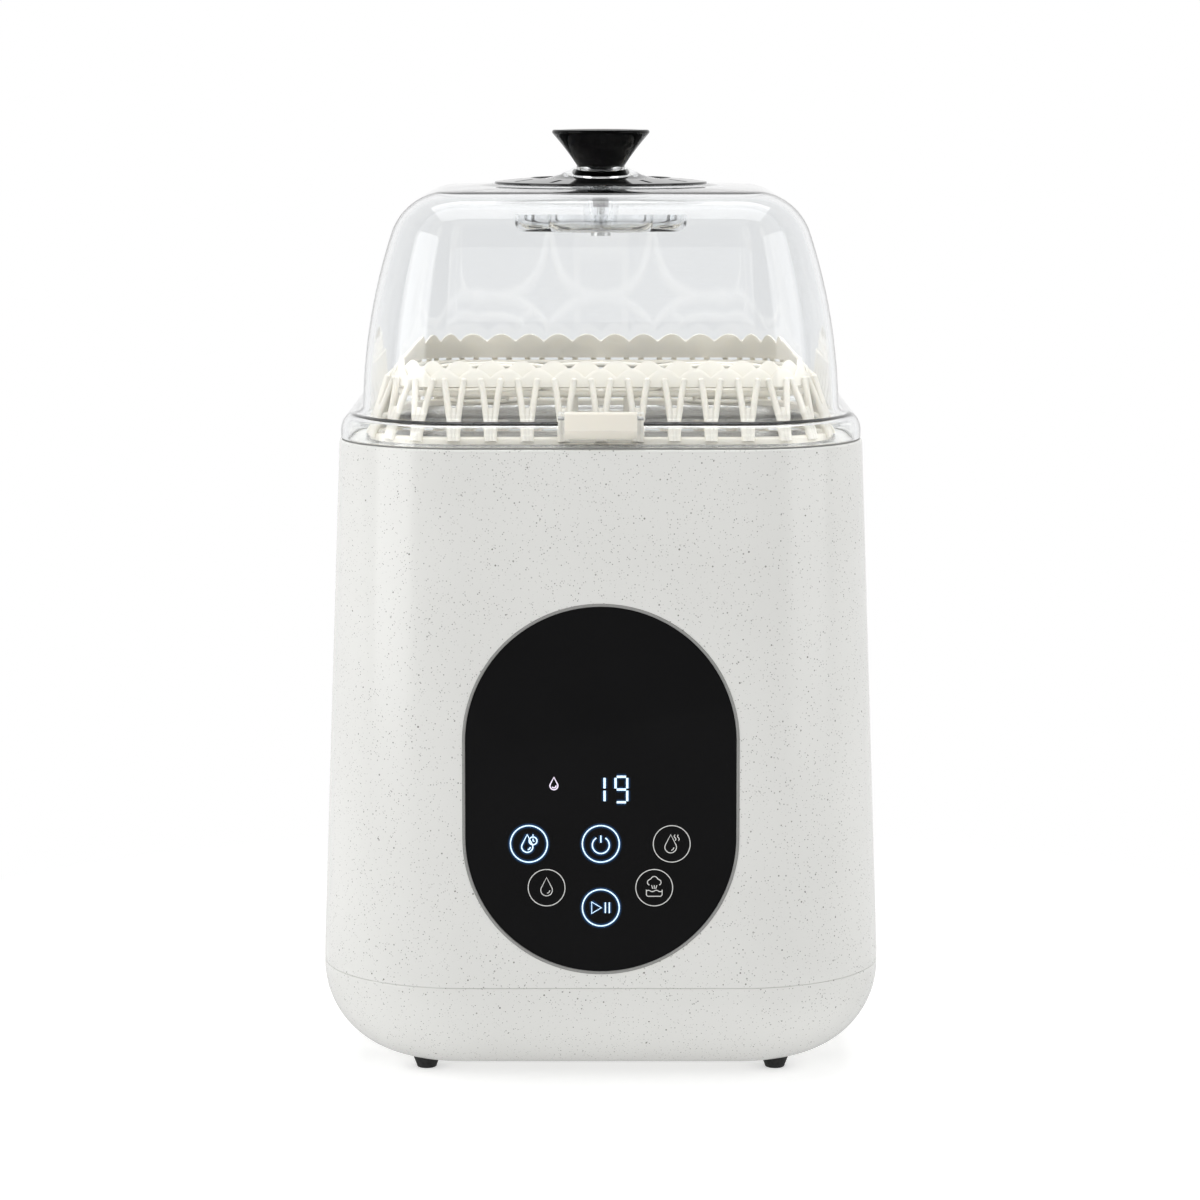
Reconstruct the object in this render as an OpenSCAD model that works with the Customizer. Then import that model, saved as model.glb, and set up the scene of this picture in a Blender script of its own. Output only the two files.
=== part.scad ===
// Bottle washer and steam sterilizer
// Lengths in millimetres. The origin lies on the table under the middle of the body; the front faces -Y.

/* [Body] */
// Width of the body at its widest, just above the seam
body_w = 277; // [268:1:292]
// Depth of the body's top behind the lid, where the tanks stand
rear_d = 58.9; // [56:0.1:75]
// Height of the body's top edge above the table
body_top = 314; // [308:1:330]
// Corner radius of the body in plan, at its widest
body_corner = 72; // [69:1:78]
// How far each wall leans in between the seam and the top edge
taper = 9.6; // [8:0.2:11]
// Thickness of the moulded shells
wall = 2.6; // [2.2:0.1:3]
// Height of the seam between the base and the housing
seam_z = 53; // [52:0.5:56]
// Radius of the rounded lower edge
base_round = 45; // [40:1:46]

/* [Feet] */
// Height of the rubber feet below the body
foot_h = 6.5; // [5:0.5:7]
// Radius of a foot at the body
foot_r = 7; // [6:0.5:8]
// Distance of the feet from the widest outline
foot_inset = 51.5; // [50:0.5:56]

/* [Control panel] */
// Width of the glossy control panel
panel_w = 133.4; // [120:0.2:140]
// Height of the glossy control panel
panel_h = 180; // [160:1:200]
// Distance from the seam up to the panel's lower end
panel_gap = 7.2; // [6.8:0.1:12]
// Depth of the recess that the panel lies in
recess_d = 2.4; // [2:0.1:2.6]
// Width of the bezel round the panel
bezel_w = 1.3; // [1:0.1:2]
// Diameter of a touch button
button_d = 17.8; // [14:0.2:19]

/* [Lid] */
// Thickness of the clear lid
lid_t = 3; // [2.4:0.1:3.4]
// Height of the dome above its lower edge
dome_h = 123.9; // [110:0.1:140]
// Height of the stepped flange at the dome's foot
flange_h = 15; // [13:0.5:18]
// How far the dome's wall stands in from the flange
flange_step = 10.9; // [10:0.1:12]
// Radius of the bow of the dome's walls
dome_bow = 285; // [250:1:340]
// Radius of the dome's shoulder
shoulder_r = 30; // [26:0.5:34]
// Height of the rubber seal under the lid
seal_h = 2.5; // [2:0.1:3]
// Diameter of the lid knob
knob_d = 49.4; // [40:0.2:54]
// Height of the knob above the dome
knob_h = 23.6; // [20:0.1:28]
// Width of the front latch
latch_w = 34.8; // [28:0.2:40]

/* [Wash chamber] */
// Distance from the lid's edge in to the steel tub's wall
tub_inset = 24; // [22:0.5:28]
// Inner corner radius of the tub
tub_corner = 40; // [36:1:44]
// Depth of the tub's floor below the body's top edge
tub_depth = 164; // [160:1:168]
// Thickness of the tub's steel sheet
sheet = 1.2; // [1:0.1:1.5]
// Height of a spray post above the manifold's sockets
post_h = 107; // [90:1:116]

/* [Accessory tray] */
// Distance from the lid's edge in to the tray's foot
tray_set_in = 15; // [13.5:0.5:17]
// Lean of the tray's open sides, in degrees
tray_lean = 19; // [15:0.5:21]
// Height of the tray's inner scallops above its foot
tray_h = 39.9; // [37:0.1:42]
// Spacing of the scallops along the rim
scallop_pitch = 15.2; // [13:0.1:18]
// Spacing of the forked struts in the sides
strut_pitch = 17.7; // [16:0.1:22]
// Width of each arm of a forked strut
strut_w = 2.4; // [2:0.1:3]

/* [Tanks] */
// Height of the water tanks
tank_h = 242; // [225:1:246]
// Wall thickness of the water tanks
tank_wall = 2; // [1.6:0.1:2.6]
// Gap between a tank and its bay
tank_gap = 2; // [1.5:0.1:2.5]
// Height of a tank's lid above the tank
tank_lid_h = 10; // [9:0.5:12]

/* [Hidden] */
$fn = 64;
cut = 1;

// Body outline: half sizes, corner centres and the line where the walls begin to lean
half_w = body_w / 2;
top_half = half_w - taper;
lid_inset = 0.9;
half_d = taper + top_half + (rear_d - lid_inset) / 2;
corner_x = half_w - body_corner;
corner_y = half_d - body_corner;
wide_z = seam_z + 5;
front_tilt = atan(taper / (body_top - wide_z));
floor_z = foot_h + wall;
base_r = min(base_round, seam_z - foot_h - 1.2);
edge_r = 1;
seam_chamfer = 0.5;
lip_h = 3;
lip_t = 1.6;
lip_gap = 0.25;

// Top deck and the ledge that carries it
deck_t = 3;
deck_z = body_top - deck_t;
deck_gap = 0.3;
ledge_w = 4;
ledge_t = 2;

// Base screws and the bosses they pull on
screw_inset = 24.5;
screw_x = half_w - screw_inset;
screw_back = corner_y - 35.5;
screw_front = 5.5 - corner_y;
screw_places = [for (y = [screw_back, screw_front], s = [1, -1]) [s * screw_x, y]];
column_r = 6.5;
column_inset = 0.4;
screw_play = 0.3;
column_top = seam_z + 7;
boss_r = 5;
boss_h = 33;
rib_t = 2.4;
screw_head_r = 4;
screw_head_h = 3;
screw_r = 1.5;
screw_len = 27;
screw_seat = seam_z - 5;
counterbore_r = screw_head_r + 0.2;

// Feet and cord gland
foot_tip_r = foot_r - 2;
foot_stem_r = 3;
stem_gap = 0.05;
foot_y_inset = foot_inset + 3.5;
foot_places = [for (sx = [-1, 1], sy = [-1, 1])
    [sx * (half_w - foot_inset), sy * (half_d - foot_y_inset)]];
gland_x = 6.5 - corner_x;
gland_z = seam_z - 17;
gland_r = 8.8;
gland_stem_r = 6.4;
gland_bore_r = 3.5;
gland_seat = half_d - 10.5;
gland_pad = 8;
gland_collar = 6;
gland_slope = 2.5;
gland_rim = 2.2;
gland_gap = 0.2;

// Control panel: centre, outline and the layers behind the lens
panel_r = panel_w / 2;
panel_straight = panel_h / 2 - panel_r;
panel_z = seam_z + panel_gap + panel_h / 2;
panel_fit = 0.1;
pad_t = 2;
pad_margin = 3.5;
window_lip = 8;
bezel_proud = 0.35;
pcb_t = 1.6;
pad_back = recess_d + pad_t;
board_r = panel_r - 2;
display_x = 6.5;
display_y = 0.2;
display_w = 40;
display_h = 16;
touch_r = button_d / 2 - 3.9;
touch_places = [[0, -26.3], [-34.7, -26.3], [34.2, -26.3], [-26.2, -47.7], [25.8, -47.7], [0, -57.5]];
board_screw_y = min(25, panel_straight);
small_screw_r = 1;
small_head_r = 2.2;
small_head_h = 1.4;
small_screw_len = 5;
display_screw_len = pcb_t + pad_t - 0.2;
lens_drop = 0.2;

// Wash chamber: the lid and the tub share one square plan at the front of the body
lid_half = top_half - lid_inset;
lid_corner = body_corner - taper - lid_inset;
lid_y = top_half - (half_d - taper);
lid_z = body_top + seal_h;
tub_half = lid_half - tub_inset;
post_pitch = tub_half / 2;
tub_floor = body_top - tub_depth;
tub_under = tub_floor - sheet;
tub_bend = 20;
tub_rim = 12;
tub_back = lid_y + tub_half + sheet;
deck_open = tub_half + sheet + 1.3;
gasket_in = tub_half + 4;
gasket_w = 4;
gasket_t = 1.2;

// Sump, filter, heater and wash pump hang below the tub's floor
sump_h = 36.8;
sump_z = tub_under - sump_h;
sump_r = 36;
sump_wall = 2.5;
sump_in = sump_r - sump_wall;
sump_flange_r = 44;
sump_outlet_r = 11;
filter_gap = 0.7;
filter_r = sump_in - filter_gap;
filter_wall = 1.4;
filter_rim = 3;
filter_z = sump_z + 8;
filter_edge = filter_r + filter_rim + filter_gap;
filter_hole_r = 1.8;
filter_row_h = 6;
filter_first = 7;
drain_hole_r = 4;
drain_hole_at = 18;
port_push = 4;
fill_push = 6;
spigot_wall = 2;
heater_plate = 2;
heater_in = 47;
heater_out = 68;
heater_tube_r = 3.2;
port_z = tub_under - 27.8;
drain_spigot_r = 7;
fill_spigot_r = 5;
hose_bore_r = 3.4;
fit_gap = 0.05;
pump_r = 34;
pump_h = 28;
pump_wall = 4;
pump_z = sump_z - pump_h;
pump_in_r = 9;
pump_shaft_r = 3;
motor_r = 27;
motor_h = 50;
motor_cap_r = 10;
motor_cap_h = 4;
chamber_in = 6;
wheel_in = 9;
wheel_t = 3;
vane_t = 2;
vane_h = 9;
vane_in = 6;
vane_trim = 17;
wheel_run = 2;
motor_z = pump_z - motor_h;
pump_out_x = 20;
pump_out_z = pump_z + 13;
pump_out_y = lid_y - pump_r - 12;

// Spray manifold and posts
rail_r = 6;
rail_z = tub_floor + 8;
socket_r = 8;
socket_h = 12;
post_r = 5;
post_tip_r = 3;
post_foot = rail_z + 5;
post_step = 12;
nozzle_r = 0.9;
nozzle_pitch = 14;
nozzle_first = 10;
stub_r = 5;
stub_x = pump_out_x;
stub_y = lid_y - post_pitch - 22;
stub_z = tub_under - 15;

// Bottle rack
rack_z = tub_floor + 16;
rack_t = 4;
rack_bar_y = post_pitch - 20.5;
rack_leg_x = tub_half - tub_bend - 3;
rack_ring_in = 19;
rack_ring_out = 22;
grip_x = 13.5;
grip_top = body_top + 21;

// Accessory tray
tray_half = lid_half - tray_set_in;
tray_corner = 40;
tray_foot_z = body_top + sheet;
tray_foot_w = 6;
tray_foot_t = 3.2;
tray_base_z = tray_foot_z + tray_foot_t;
tray_straight = tray_half - tray_corner;
tray_rise = (tray_h - tray_foot_t) / cos(tray_lean);
scallop_step = 4.2;
band_drop = 13.4;
fork_drop = 9.8;
fork_y = 10.8;
fork_notch = 15.6;
fork_spread = 4.2;
strut_foot = 2.9;
strut_root = 1;
strut_t = 2.4;
band_t = 1.4;
outer_peak = tray_rise - scallop_step;
scallop_depth = 4.2;
strut_count = floor(tray_straight / strut_pitch);
scallop_count = floor(tray_straight / scallop_pitch);
rim_r = tray_corner - sin(tray_lean) * (tray_rise - band_drop / 2);
plate_lap = 0.5;
corner_struts = 3;
floor_rise = 18.6;
tray_floor_z = tray_base_z + floor_rise;
tray_floor_t = 3;
tray_fit = 0.1;
frame_out = tray_half - tan(tray_lean) * (floor_rise + tray_floor_t) - strut_t / cos(tray_lean) - tray_fit;
frame_w = 4.4;
ring_room = 11.5;
tray_ring_pitch = (frame_out - frame_w - ring_room) / 1.5;
tray_ring_w = 1.8;
net_gap = 0.2;
tray_ring_r = (tray_ring_pitch - net_gap) / 2;
rod_inset = 0.4;
guide_r = tray_ring_r - 12.5;
guide_w = 2.4;
guide_drop = 6;
guide_lap = 0.8;
arm_drop = 2;

// Dome: wall arc, shoulder arc, roof and cap
dome_top = lid_z + dome_h;
cap_h = 4.25;
cap_r = min(62, lid_half - lid_corner - 4);
cap_bow = (cap_r * cap_r + cap_h * cap_h) / (2 * cap_h);
roof_z = dome_top - cap_h;
roof_rise = 1.4;
shoulder_end = 80;
wall_z = lid_z + 8.5;
wall_cx = -flange_step - dome_bow;
wall_end = asin((roof_z - roof_rise - wall_z - shoulder_r * sin(shoulder_end)) / (dome_bow - shoulder_r));
shoulder_cx = wall_cx + (dome_bow - shoulder_r) * cos(wall_end);
shoulder_cz = wall_z + (dome_bow - shoulder_r) * sin(wall_end);
skirt_h = 2;
arc_steps = 10;
seal_in = 3.8;
seal_out = 0.2;
seal_w = seal_in - seal_out;
ring_in = 35.3;
ring_out = 53.7;
ring_t = 1.8;
ring_seat = 1;
ring_gap = 0.2;
ring_edge = 0.4;
ring_film = 0.05;
vent_count = 12;
vent_w = 2.4;
vent_in = 39.5;
vent_out = 49.5;

// Knob, its clear boss, the deflector below it and the screw through all three
knob_r = knob_d / 2;
knob_neck_r = 12.1;
boss_foot_r = 24.2;
boss_top_r = 13.4;
knob_boss_h = 5;
stem_r = 4;
stem_hole_r = 4.3;
stem_len = 10.4;
neck_gap = 0.2;
knob_shadow = 0.6;
knob_edge_r = 1.2;
knob_side = 2.2;
knob_rim_w = 5;
knob_dish_w = 8;
knob_dish = 0.8;
hub_r = 9;
hub_gap = 0.15;
deflector_drop = 26.4;
deflector_z = dome_top - deflector_drop;
deflector_t = 2;
deflector_h = 10;
petals = 8;
petal_r = 14;
petal_at = 31.7;
petal_wall = 1.8;
clamp_screw_r = 2;
clamp_head_r = 5;
clamp_head_h = 3;
clamp_reach = 6;
clamp_screw_len = deflector_drop + clamp_reach;
clamp_gap = 0.1;
stem_room = 0.5;

// Front latch
latch_half = latch_w / 2;
latch_block = 3.1;
latch_room = 0.4;
block_drop = 0.3;
latch_top = flange_h + 0.2;
latch_foot = 2.3;
latch_ridge = 6.5;
latch_depth = 7.6;
pin_in = 4.4;
pin_z = lid_z + 12.2;
pin_r = 1;
barrel_r = 2.4;
latch_t = 4.2;
ridge_out = 1.1;
lip_in = 1.2;

// Tank bay, tanks, tank lids, handles and valves
bay_off = taper + wall + ledge_w + deck_gap;
bay_wall = 2;
bay_lip = 0.6;
rim_gap = 0.2;
rim_cut = 0.4;
rim_out = taper + wall + deck_gap;
bay_side = rim_out + 0.5;
seat_base = 3;
bay_z = seam_z + 9;
bay_floor_t = 2;
tank_front = lid_y + lid_half + 2.5;
bay_in = tank_front - tank_gap;
bay_front = bay_in - bay_wall;
deck_end = bay_front + bay_wall / 2;
tank_off = bay_off + bay_wall + tank_gap;
divider = 2;
tank_x = divider / 2 + tank_gap;
tank_z = bay_z + bay_floor_t;
tank_top = tank_z + tank_h;
plug_h = 3;
plug_gap = 0.3;
tank_lid_t = 3;
plug_in = tank_wall + plug_gap;
skin_in = tank_wall + tank_lid_t;
bail_y = tank_front + 12;
bail_z = tank_top + tank_lid_h + 3.5;
bail_reach = 25;
bail_t = 5;
bail_pin_r = 1.5;
bail_end_r = 3;
ear_t = 3;
bail_side = 0.4;
bail_x0 = tank_x + 10;
bail_x1 = corner_x + 27;
valve_x = half_w - bay_off - 28;
valve_r = 7;
valve_flange_r = 10;
valve_y = tank_front + tank_wall + valve_flange_r + 0.5;
valve_flange_t = 2;
valve_drop = 8;
valve_port_r = 2.5;
seat_r = 10;
seat_bore_r = 8;
seat_depth = 16;
seat_spigot_z = bay_z - 8;
seat_spigot_y = bay_front - 10;

// Drain pump, on the sump's right-hand port
drain_r = 20;
drain_x0 = sump_r + 10;
drain_x1 = drain_x0 + 24;
drain_chamber_r = 16;
drain_wall = 4;
drain_shaft_r = 2;
drain_motor_r = 15;
drain_motor_len = 36;
drain_cap_h = 2;
drain_bore = 24;
drain_run = 2;
drain_shaft_end = 26;
paddle_t = 1.6;
paddle_l = 7;
paddle_in = 2;
paddle_trim = 6;
drain_disc_in = 3;
drain_out_x = drain_x0 + 13;
drain_out_y = lid_y + 43;

// Fill valve, on the sump's left-hand port
fill_x0 = sump_r + 10;
fill_x1 = fill_x0 + 24;
fill_r = 10;
fill_coil_r = 9;
fill_coil_len = 30;
fill_out_x = fill_x1 + 14;

// Drying fan, duct, heater and filter
fan_x = 52;
fan_y = tank_front + 6.5;
fan_r = 27;
fan_wall = 2;
fan_z = floor_z + 10.9;
fan_h = 28;
fan_in_r = 14;
fan_wheel_r = 22;
fan_shaft_r = 2.5;
fan_motor_r = 16;
fan_motor_h = 8;
fan_post_r = 3.5;
fan_post_in = 5;
inlet_w = 3;
inlet_l = 20;
inlet_pitch = 5;
fan_vanes = 18;
fan_vane_t = 1;
fan_vane_w = 5;
fan_disc_t = 2;
fan_run = 1;
fan_foot = 5;
outlet_in = 4;
outlet_edge = 2;
duct_half = 25;
duct_wall = 1.6;
duct_gap = 0.3;
mouth_edge = 4;
duct_y0 = tub_back + 1;
duct_y1 = bay_front - duct_gap;
outlet_d = duct_y1 - duct_y0 - outlet_in - 2.5 * outlet_edge;
duct_z0 = fan_z + 2;
duct_top = body_top - 22;
slot_z0 = body_top - 44;
slot_h = 18;
slot_w = 6;
slot_pitch = 9;
air_heater_z = fan_z + fan_h + 12;
air_heater_h = 30;
fin_pitch = 5;
fin_gap = 3;
filter_seat = 1;
air_filter_r = 16;
air_filter_t = 5;

// Main board on its standoffs
board_x = 60;
board_y0 = lid_y - 91;
board_y1 = lid_y - 37;
standoff_h = 8;
standoff_r = 3.2;
board_z = floor_z + standoff_h;
standoff_inset = 5;
supply_x = 45;
supply_in = 12;
supply_w = 30;
supply_d = 28;
supply_h = 22;
can_x = 2;
can_in = 16;
can_pitch = 14;
can_r = 5;
can_h = 18;
relay_x = 6;
relay_in = 32;
relay_w = 40;
relay_d = 12;
relay_h = 14;
standoffs = [for (sx = [-1, 1], y = [board_y0 + standoff_inset, board_y1 - standoff_inset])
    [sx * (board_x - standoff_inset), y]];

// Hoses: outer radius, sides and the number of rings along each
hose_r = 7;
hose_sides = 12;
hose_steps = 12;
hose_push = 12;
hose_lap = 2;
fill_bend = 55;
valve_bend = 26;
drain_bend = 36;
spray_bend = 24;

shell_colour = [0.93, 0.92, 0.89];
cream = [0.95, 0.93, 0.87];
clear = [0.85, 0.92, 0.95, 0.35];
steel = [0.72, 0.73, 0.74];
black_gloss = [0.05, 0.05, 0.06];
grey_plastic = [0.55, 0.56, 0.58];
dark_plastic = [0.2, 0.2, 0.22];
rubber = [0.25, 0.25, 0.26];
board_green = [0.1, 0.38, 0.22];

function arc(cx, cy, r, a0, a1, n) =
    [for (i = [0:n]) let (a = a0 + (a1 - a0) * i / n) [cx + r * cos(a), cy + r * sin(a)]];
function oval(cx, cy, rx, ry, a0, a1, n) =
    [for (i = [0:n]) let (a = a0 + (a1 - a0) * i / n) [cx + rx * cos(a), cy + ry * sin(a)]];
function lean(z) = z <= wide_z ? 0 : -taper * (z - wide_z) / (body_top - wide_z);
function cap_z(r) = dome_top - cap_bow + sqrt(cap_bow * cap_bow - r * r);
function ring_bed(r) = cap_z(ring_in) - ring_seat
    + (cap_z(ring_out) - cap_z(ring_in)) * (r - ring_in) / (ring_out - ring_in);
function ring_z(r) = ring_bed(r) + ring_film;

// Profile swept round a rounded rectangle: the child's x points outwards from the path, its y points up
module sweep_round(half_x, half_y, corner) {
    for (q = [0:3]) {
        along = (q % 2 == 0) ? half_y - corner : half_x - corner;
        reach = (q % 2 == 0) ? half_x : half_y;
        rotate(90 * q) translate([reach, 0, 0]) rotate([90, 0, 0])
            linear_extrude(2 * along, center = true) children();
        rotate(90 * q) translate([reach - corner, along, 0])
            rotate_extrude(angle = 90) translate([corner, 0]) children();
    }
}

// Flat plate with a rounded rectangle as its outline
module slab(half_x, half_y, corner, z0, z1) {
    sweep_round(half_x, half_y, corner) translate([-corner, z0]) square([corner, z1 - z0]);
    translate([corner - half_x, corner - half_y, z0])
        cube([2 * (half_x - corner), 2 * (half_y - corner), z1 - z0]);
}

// Plate with straight sides and half-round ends
module stadium(r, straight, t) {
    translate([-r, -straight, 0]) cube([2 * r, 2 * straight, t]);
    for (turn = [0, 180])
        rotate(turn) translate([0, straight, 0]) rotate_extrude(angle = 180) square([r, t]);
}

// Child placed on the leaning front wall: its z points out of the wall, its y up along it
module on_front(depth) {
    translate([0, -half_d - lean(panel_z), panel_z]) rotate([90 - front_tilt, 0, 0])
        translate([0, 0, -depth]) children();
}

module at_chamber() {
    translate([0, lid_y, 0]) children();
}

module pipe(r_out, r_in, z0, z1) {
    difference() {
        translate([0, 0, z0]) cylinder(r = r_out, h = z1 - z0);
        translate([0, 0, z0 - cut]) cylinder(r = r_in, h = z1 - z0 + 2 * cut);
    }
}

// Solid that follows the body's right rear corner at a distance off inside the widest outline
module rear_block(off, front, x0, z0, z1) {
    r = body_corner - off;
    translate([x0, front, z0]) cube([corner_x - x0, corner_y + r - front, z1 - z0]);
    difference() {
        translate([corner_x, corner_y, z0]) rotate_extrude(angle = 90) square([r, z1 - z0]);
        if (front > corner_y)
            translate([corner_x - cut, corner_y - cut, z0 - cut])
                cube([r + 2 * cut, front - corner_y + cut, z1 - z0 + 2 * cut]);
    }
    if (front < corner_y) translate([corner_x, front, z0]) cube([r, corner_y - front, z1 - z0]);
}

// Body shells
housing_profile = concat(
    [[-wall, seam_z], [-seam_chamfer, seam_z], [0, seam_z + seam_chamfer], [0, wide_z]],
    arc(-taper - edge_r, body_top - edge_r, edge_r, 0, 90, 4),
    [[-taper - wall, body_top], [-taper - wall, deck_z], [-taper - wall - ledge_w, deck_z],
     [-taper - wall - ledge_w, deck_z - ledge_t],
     [lean(deck_z - ledge_t - ledge_w) - wall, deck_z - ledge_t - ledge_w], [-wall, wide_z]]);

module housing() color(shell_colour) difference() {
    union() {
        sweep_round(half_w, half_d, body_corner) polygon(housing_profile);
        on_front(pad_back) stadium(panel_r + pad_margin, panel_straight, pad_back - wall / 2);
        for (p = screw_places) {
            translate([p[0], p[1], column_top]) cylinder(r = boss_r, h = boss_h);
            mirror([p[0] > 0 ? 0 : 1, 0, 0])
                translate([screw_x, p[1] - rib_t / 2, column_top + boss_h / 2])
                    cube([half_w - wall - screw_x, rib_t, boss_h / 2]);
        }
    }
    on_front(recess_d) stadium(panel_r + panel_fit, panel_straight, recess_d + cut);
    on_front(pad_back + cut) stadium(panel_r - window_lip, panel_straight, pad_t + 2 * cut);
    for (sx = [-1, 1], sy = [-1, 1])
        on_front(pad_back + cut) translate([sx * (panel_r - window_lip / 2), sy * board_screw_y, 0])
            cylinder(r = small_screw_r + fit_gap, h = pad_t + 2 * cut);
    for (p = screw_places)
        translate([p[0], p[1], column_top - cut]) cylinder(r = screw_r + fit_gap, h = boss_h);
    for (side = [0, 1]) mirror([side, 0, 0])
        rear_block(taper + wall - rim_cut, bay_front - rim_gap, -cut,
            deck_z - ledge_t - ledge_w, body_top + cut);
}

module base_outline(inset, top) {
    sweep_round(half_w, half_d, body_corner)
        polygon(concat(arc(-base_r, foot_h + base_r, base_r - inset, -90, 0, 12),
            [[-inset, top], [-body_corner, top], [-body_corner, foot_h + inset]]));
    translate([-corner_x, -corner_y, foot_h + inset])
        cube([2 * corner_x, 2 * corner_y, top - foot_h - inset]);
}

lip_root = asin((seam_z - 2 * lip_t - foot_h - base_r) / (base_r - wall));
base_profile = concat(
    arc(-base_r, foot_h + base_r, base_r, -90, 0, 12),
    [[0, seam_z - seam_chamfer], [-seam_chamfer, seam_z], [-wall - lip_gap, seam_z],
     [-wall - lip_gap, seam_z + lip_h], [-wall - lip_gap - lip_t, seam_z + lip_h],
     [-wall - lip_gap - lip_t, seam_z - lip_t]],
    arc(-base_r, foot_h + base_r, base_r - wall, lip_root, -90, 12),
    [[-body_corner, floor_z], [-body_corner, foot_h]]);

module base_shell() color(shell_colour) difference() {
    union() {
        sweep_round(half_w, half_d, body_corner) polygon(base_profile);
        translate([-corner_x, -corner_y, foot_h]) cube([2 * corner_x, 2 * corner_y, wall]);
        intersection() {
            base_outline(column_inset, column_top);
            union() {
                for (p = screw_places)
                    translate([p[0], p[1], 0]) cylinder(r = column_r, h = column_top);
                translate([gland_x, gland_seat - gland_pad, gland_z]) rotate([-90, 0, 0])
                    cylinder(r = gland_r + gland_rim, h = gland_pad + gland_collar);
            }
        }
        for (p = standoffs)
            translate([p[0], p[1], foot_h + wall / 2])
                cylinder(r = standoff_r, h = board_z - foot_h - wall / 2);
        translate([fan_x, fan_y, 0]) {
            for (a = [30, 150, 270])
                rotate(a) translate([fan_r - fan_post_in, 0, foot_h + wall / 2])
                    cylinder(r = fan_post_r, h = fan_z - foot_h - wall / 2);
            pipe(air_filter_r + filter_seat, fan_in_r, foot_h + wall / 2, floor_z + filter_seat);
        }
    }
    for (p = screw_places) translate([p[0], p[1], 0]) {
        translate([0, 0, -cut]) cylinder(r = counterbore_r, h = screw_seat + cut);
        cylinder(r = screw_r + screw_play, h = column_top + cut);
    }
    for (p = foot_places)
        translate([p[0], p[1], 0]) cylinder(r = foot_stem_r + stem_gap, h = floor_z + cut);
    for (p = standoffs)
        translate([p[0], p[1], floor_z]) cylinder(r = small_screw_r + fit_gap, h = standoff_h + cut);
    for (k = [-2:2])
        translate([fan_x + inlet_pitch * k - inlet_w / 2, fan_y - inlet_l / 2, 0])
            cube([inlet_w, inlet_l, floor_z + cut]);
    translate([gland_x, gland_seat, gland_z]) rotate([-90, 0, 0])
        cylinder(r = gland_r + gland_gap, h = half_d);
    translate([gland_x, gland_seat - gland_pad - cut, gland_z]) rotate([-90, 0, 0])
        cylinder(r = gland_stem_r + stem_gap, h = gland_pad + 2 * cut);
}

module feet() color(rubber)
    for (p = foot_places) translate([p[0], p[1], 0])
        rotate_extrude() polygon([[0, 0], [foot_tip_r, 0], [foot_r, foot_h], [foot_stem_r, foot_h],
            [foot_stem_r, floor_z], [0, floor_z]]);

module base_screws() color(steel)
    for (p = screw_places) translate([p[0], p[1], screw_seat])
        rotate_extrude() polygon([[0, -screw_head_h], [screw_head_r, -screw_head_h], [screw_head_r, 0],
            [screw_r, 0], [screw_r, screw_len], [0, screw_len]]);

module cord_gland() color(rubber)
    translate([gland_x, gland_seat, gland_z]) rotate([-90, 0, 0])
        rotate_extrude() polygon([[gland_bore_r, -gland_pad], [gland_stem_r, -gland_pad], [gland_stem_r, 0],
            [gland_r, 0], [gland_r, gland_collar / 2], [gland_r - gland_slope, gland_collar],
            [gland_bore_r, gland_collar]]);

module top_deck() color(shell_colour) difference() {
    slab(half_w - taper - wall - deck_gap, half_d - taper - wall - deck_gap,
        body_corner - taper - wall - deck_gap, deck_z, body_top);
    at_chamber() {
        slab(deck_open, deck_open, tub_corner + deck_open - tub_half, deck_z - cut, body_top + cut);
        difference() {
            slab(gasket_in + gasket_w, gasket_in + gasket_w, tub_corner + gasket_in + gasket_w - tub_half,
                body_top - gasket_t, body_top + cut);
            slab(gasket_in, gasket_in, tub_corner + gasket_in - tub_half,
                body_top - gasket_t - cut, body_top + 2 * cut);
        }
    }
    translate([-half_w, deck_end, deck_z - cut]) cube([body_w, half_d, deck_t + 2 * cut]);
}

module tub_gasket() color(rubber) at_chamber()
    sweep_round(gasket_in + gasket_w, gasket_in + gasket_w, tub_corner + gasket_in + gasket_w - tub_half)
        translate([-gasket_w, body_top - gasket_t]) square([gasket_w, gasket_t]);

// Control panel and what lies behind it
module control_panel() color(black_gloss) on_front(recess_d)
    stadium(panel_r - bezel_w - panel_fit, panel_straight, recess_d - lens_drop);

module panel_bezel() color(grey_plastic) on_front(recess_d) difference() {
    stadium(panel_r, panel_straight, recess_d + bezel_proud);
    translate([0, 0, -cut]) stadium(panel_r - bezel_w, panel_straight, recess_d + bezel_proud + 2 * cut);
}

module display_board() color(board_green) on_front(pad_back + pcb_t) difference() {
    stadium(board_r, panel_straight, pcb_t);
    for (sx = [-1, 1], sy = [-1, 1])
        translate([sx * (panel_r - window_lip / 2), sy * board_screw_y, -cut])
            cylinder(r = small_screw_r + fit_gap, h = pcb_t + 2 * cut);
}

module display_module() color(dark_plastic) on_front(pad_back)
    translate([display_x - display_w / 2, display_y - display_h / 2, 0]) cube([display_w, display_h, pad_t]);

module touch_pads() color(cream) on_front(pad_back)
    for (p = touch_places) translate([p[0], p[1], 0]) cylinder(r = touch_r, h = pad_t);

module display_screws() color(steel)
    for (sx = [-1, 1], sy = [-1, 1])
        on_front(pad_back + pcb_t) translate([sx * (panel_r - window_lip / 2), sy * board_screw_y, 0])
            rotate_extrude() polygon([[0, -small_head_h], [small_head_r, -small_head_h], [small_head_r, 0],
                [small_screw_r, 0], [small_screw_r, display_screw_len], [0, display_screw_len]]);

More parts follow.
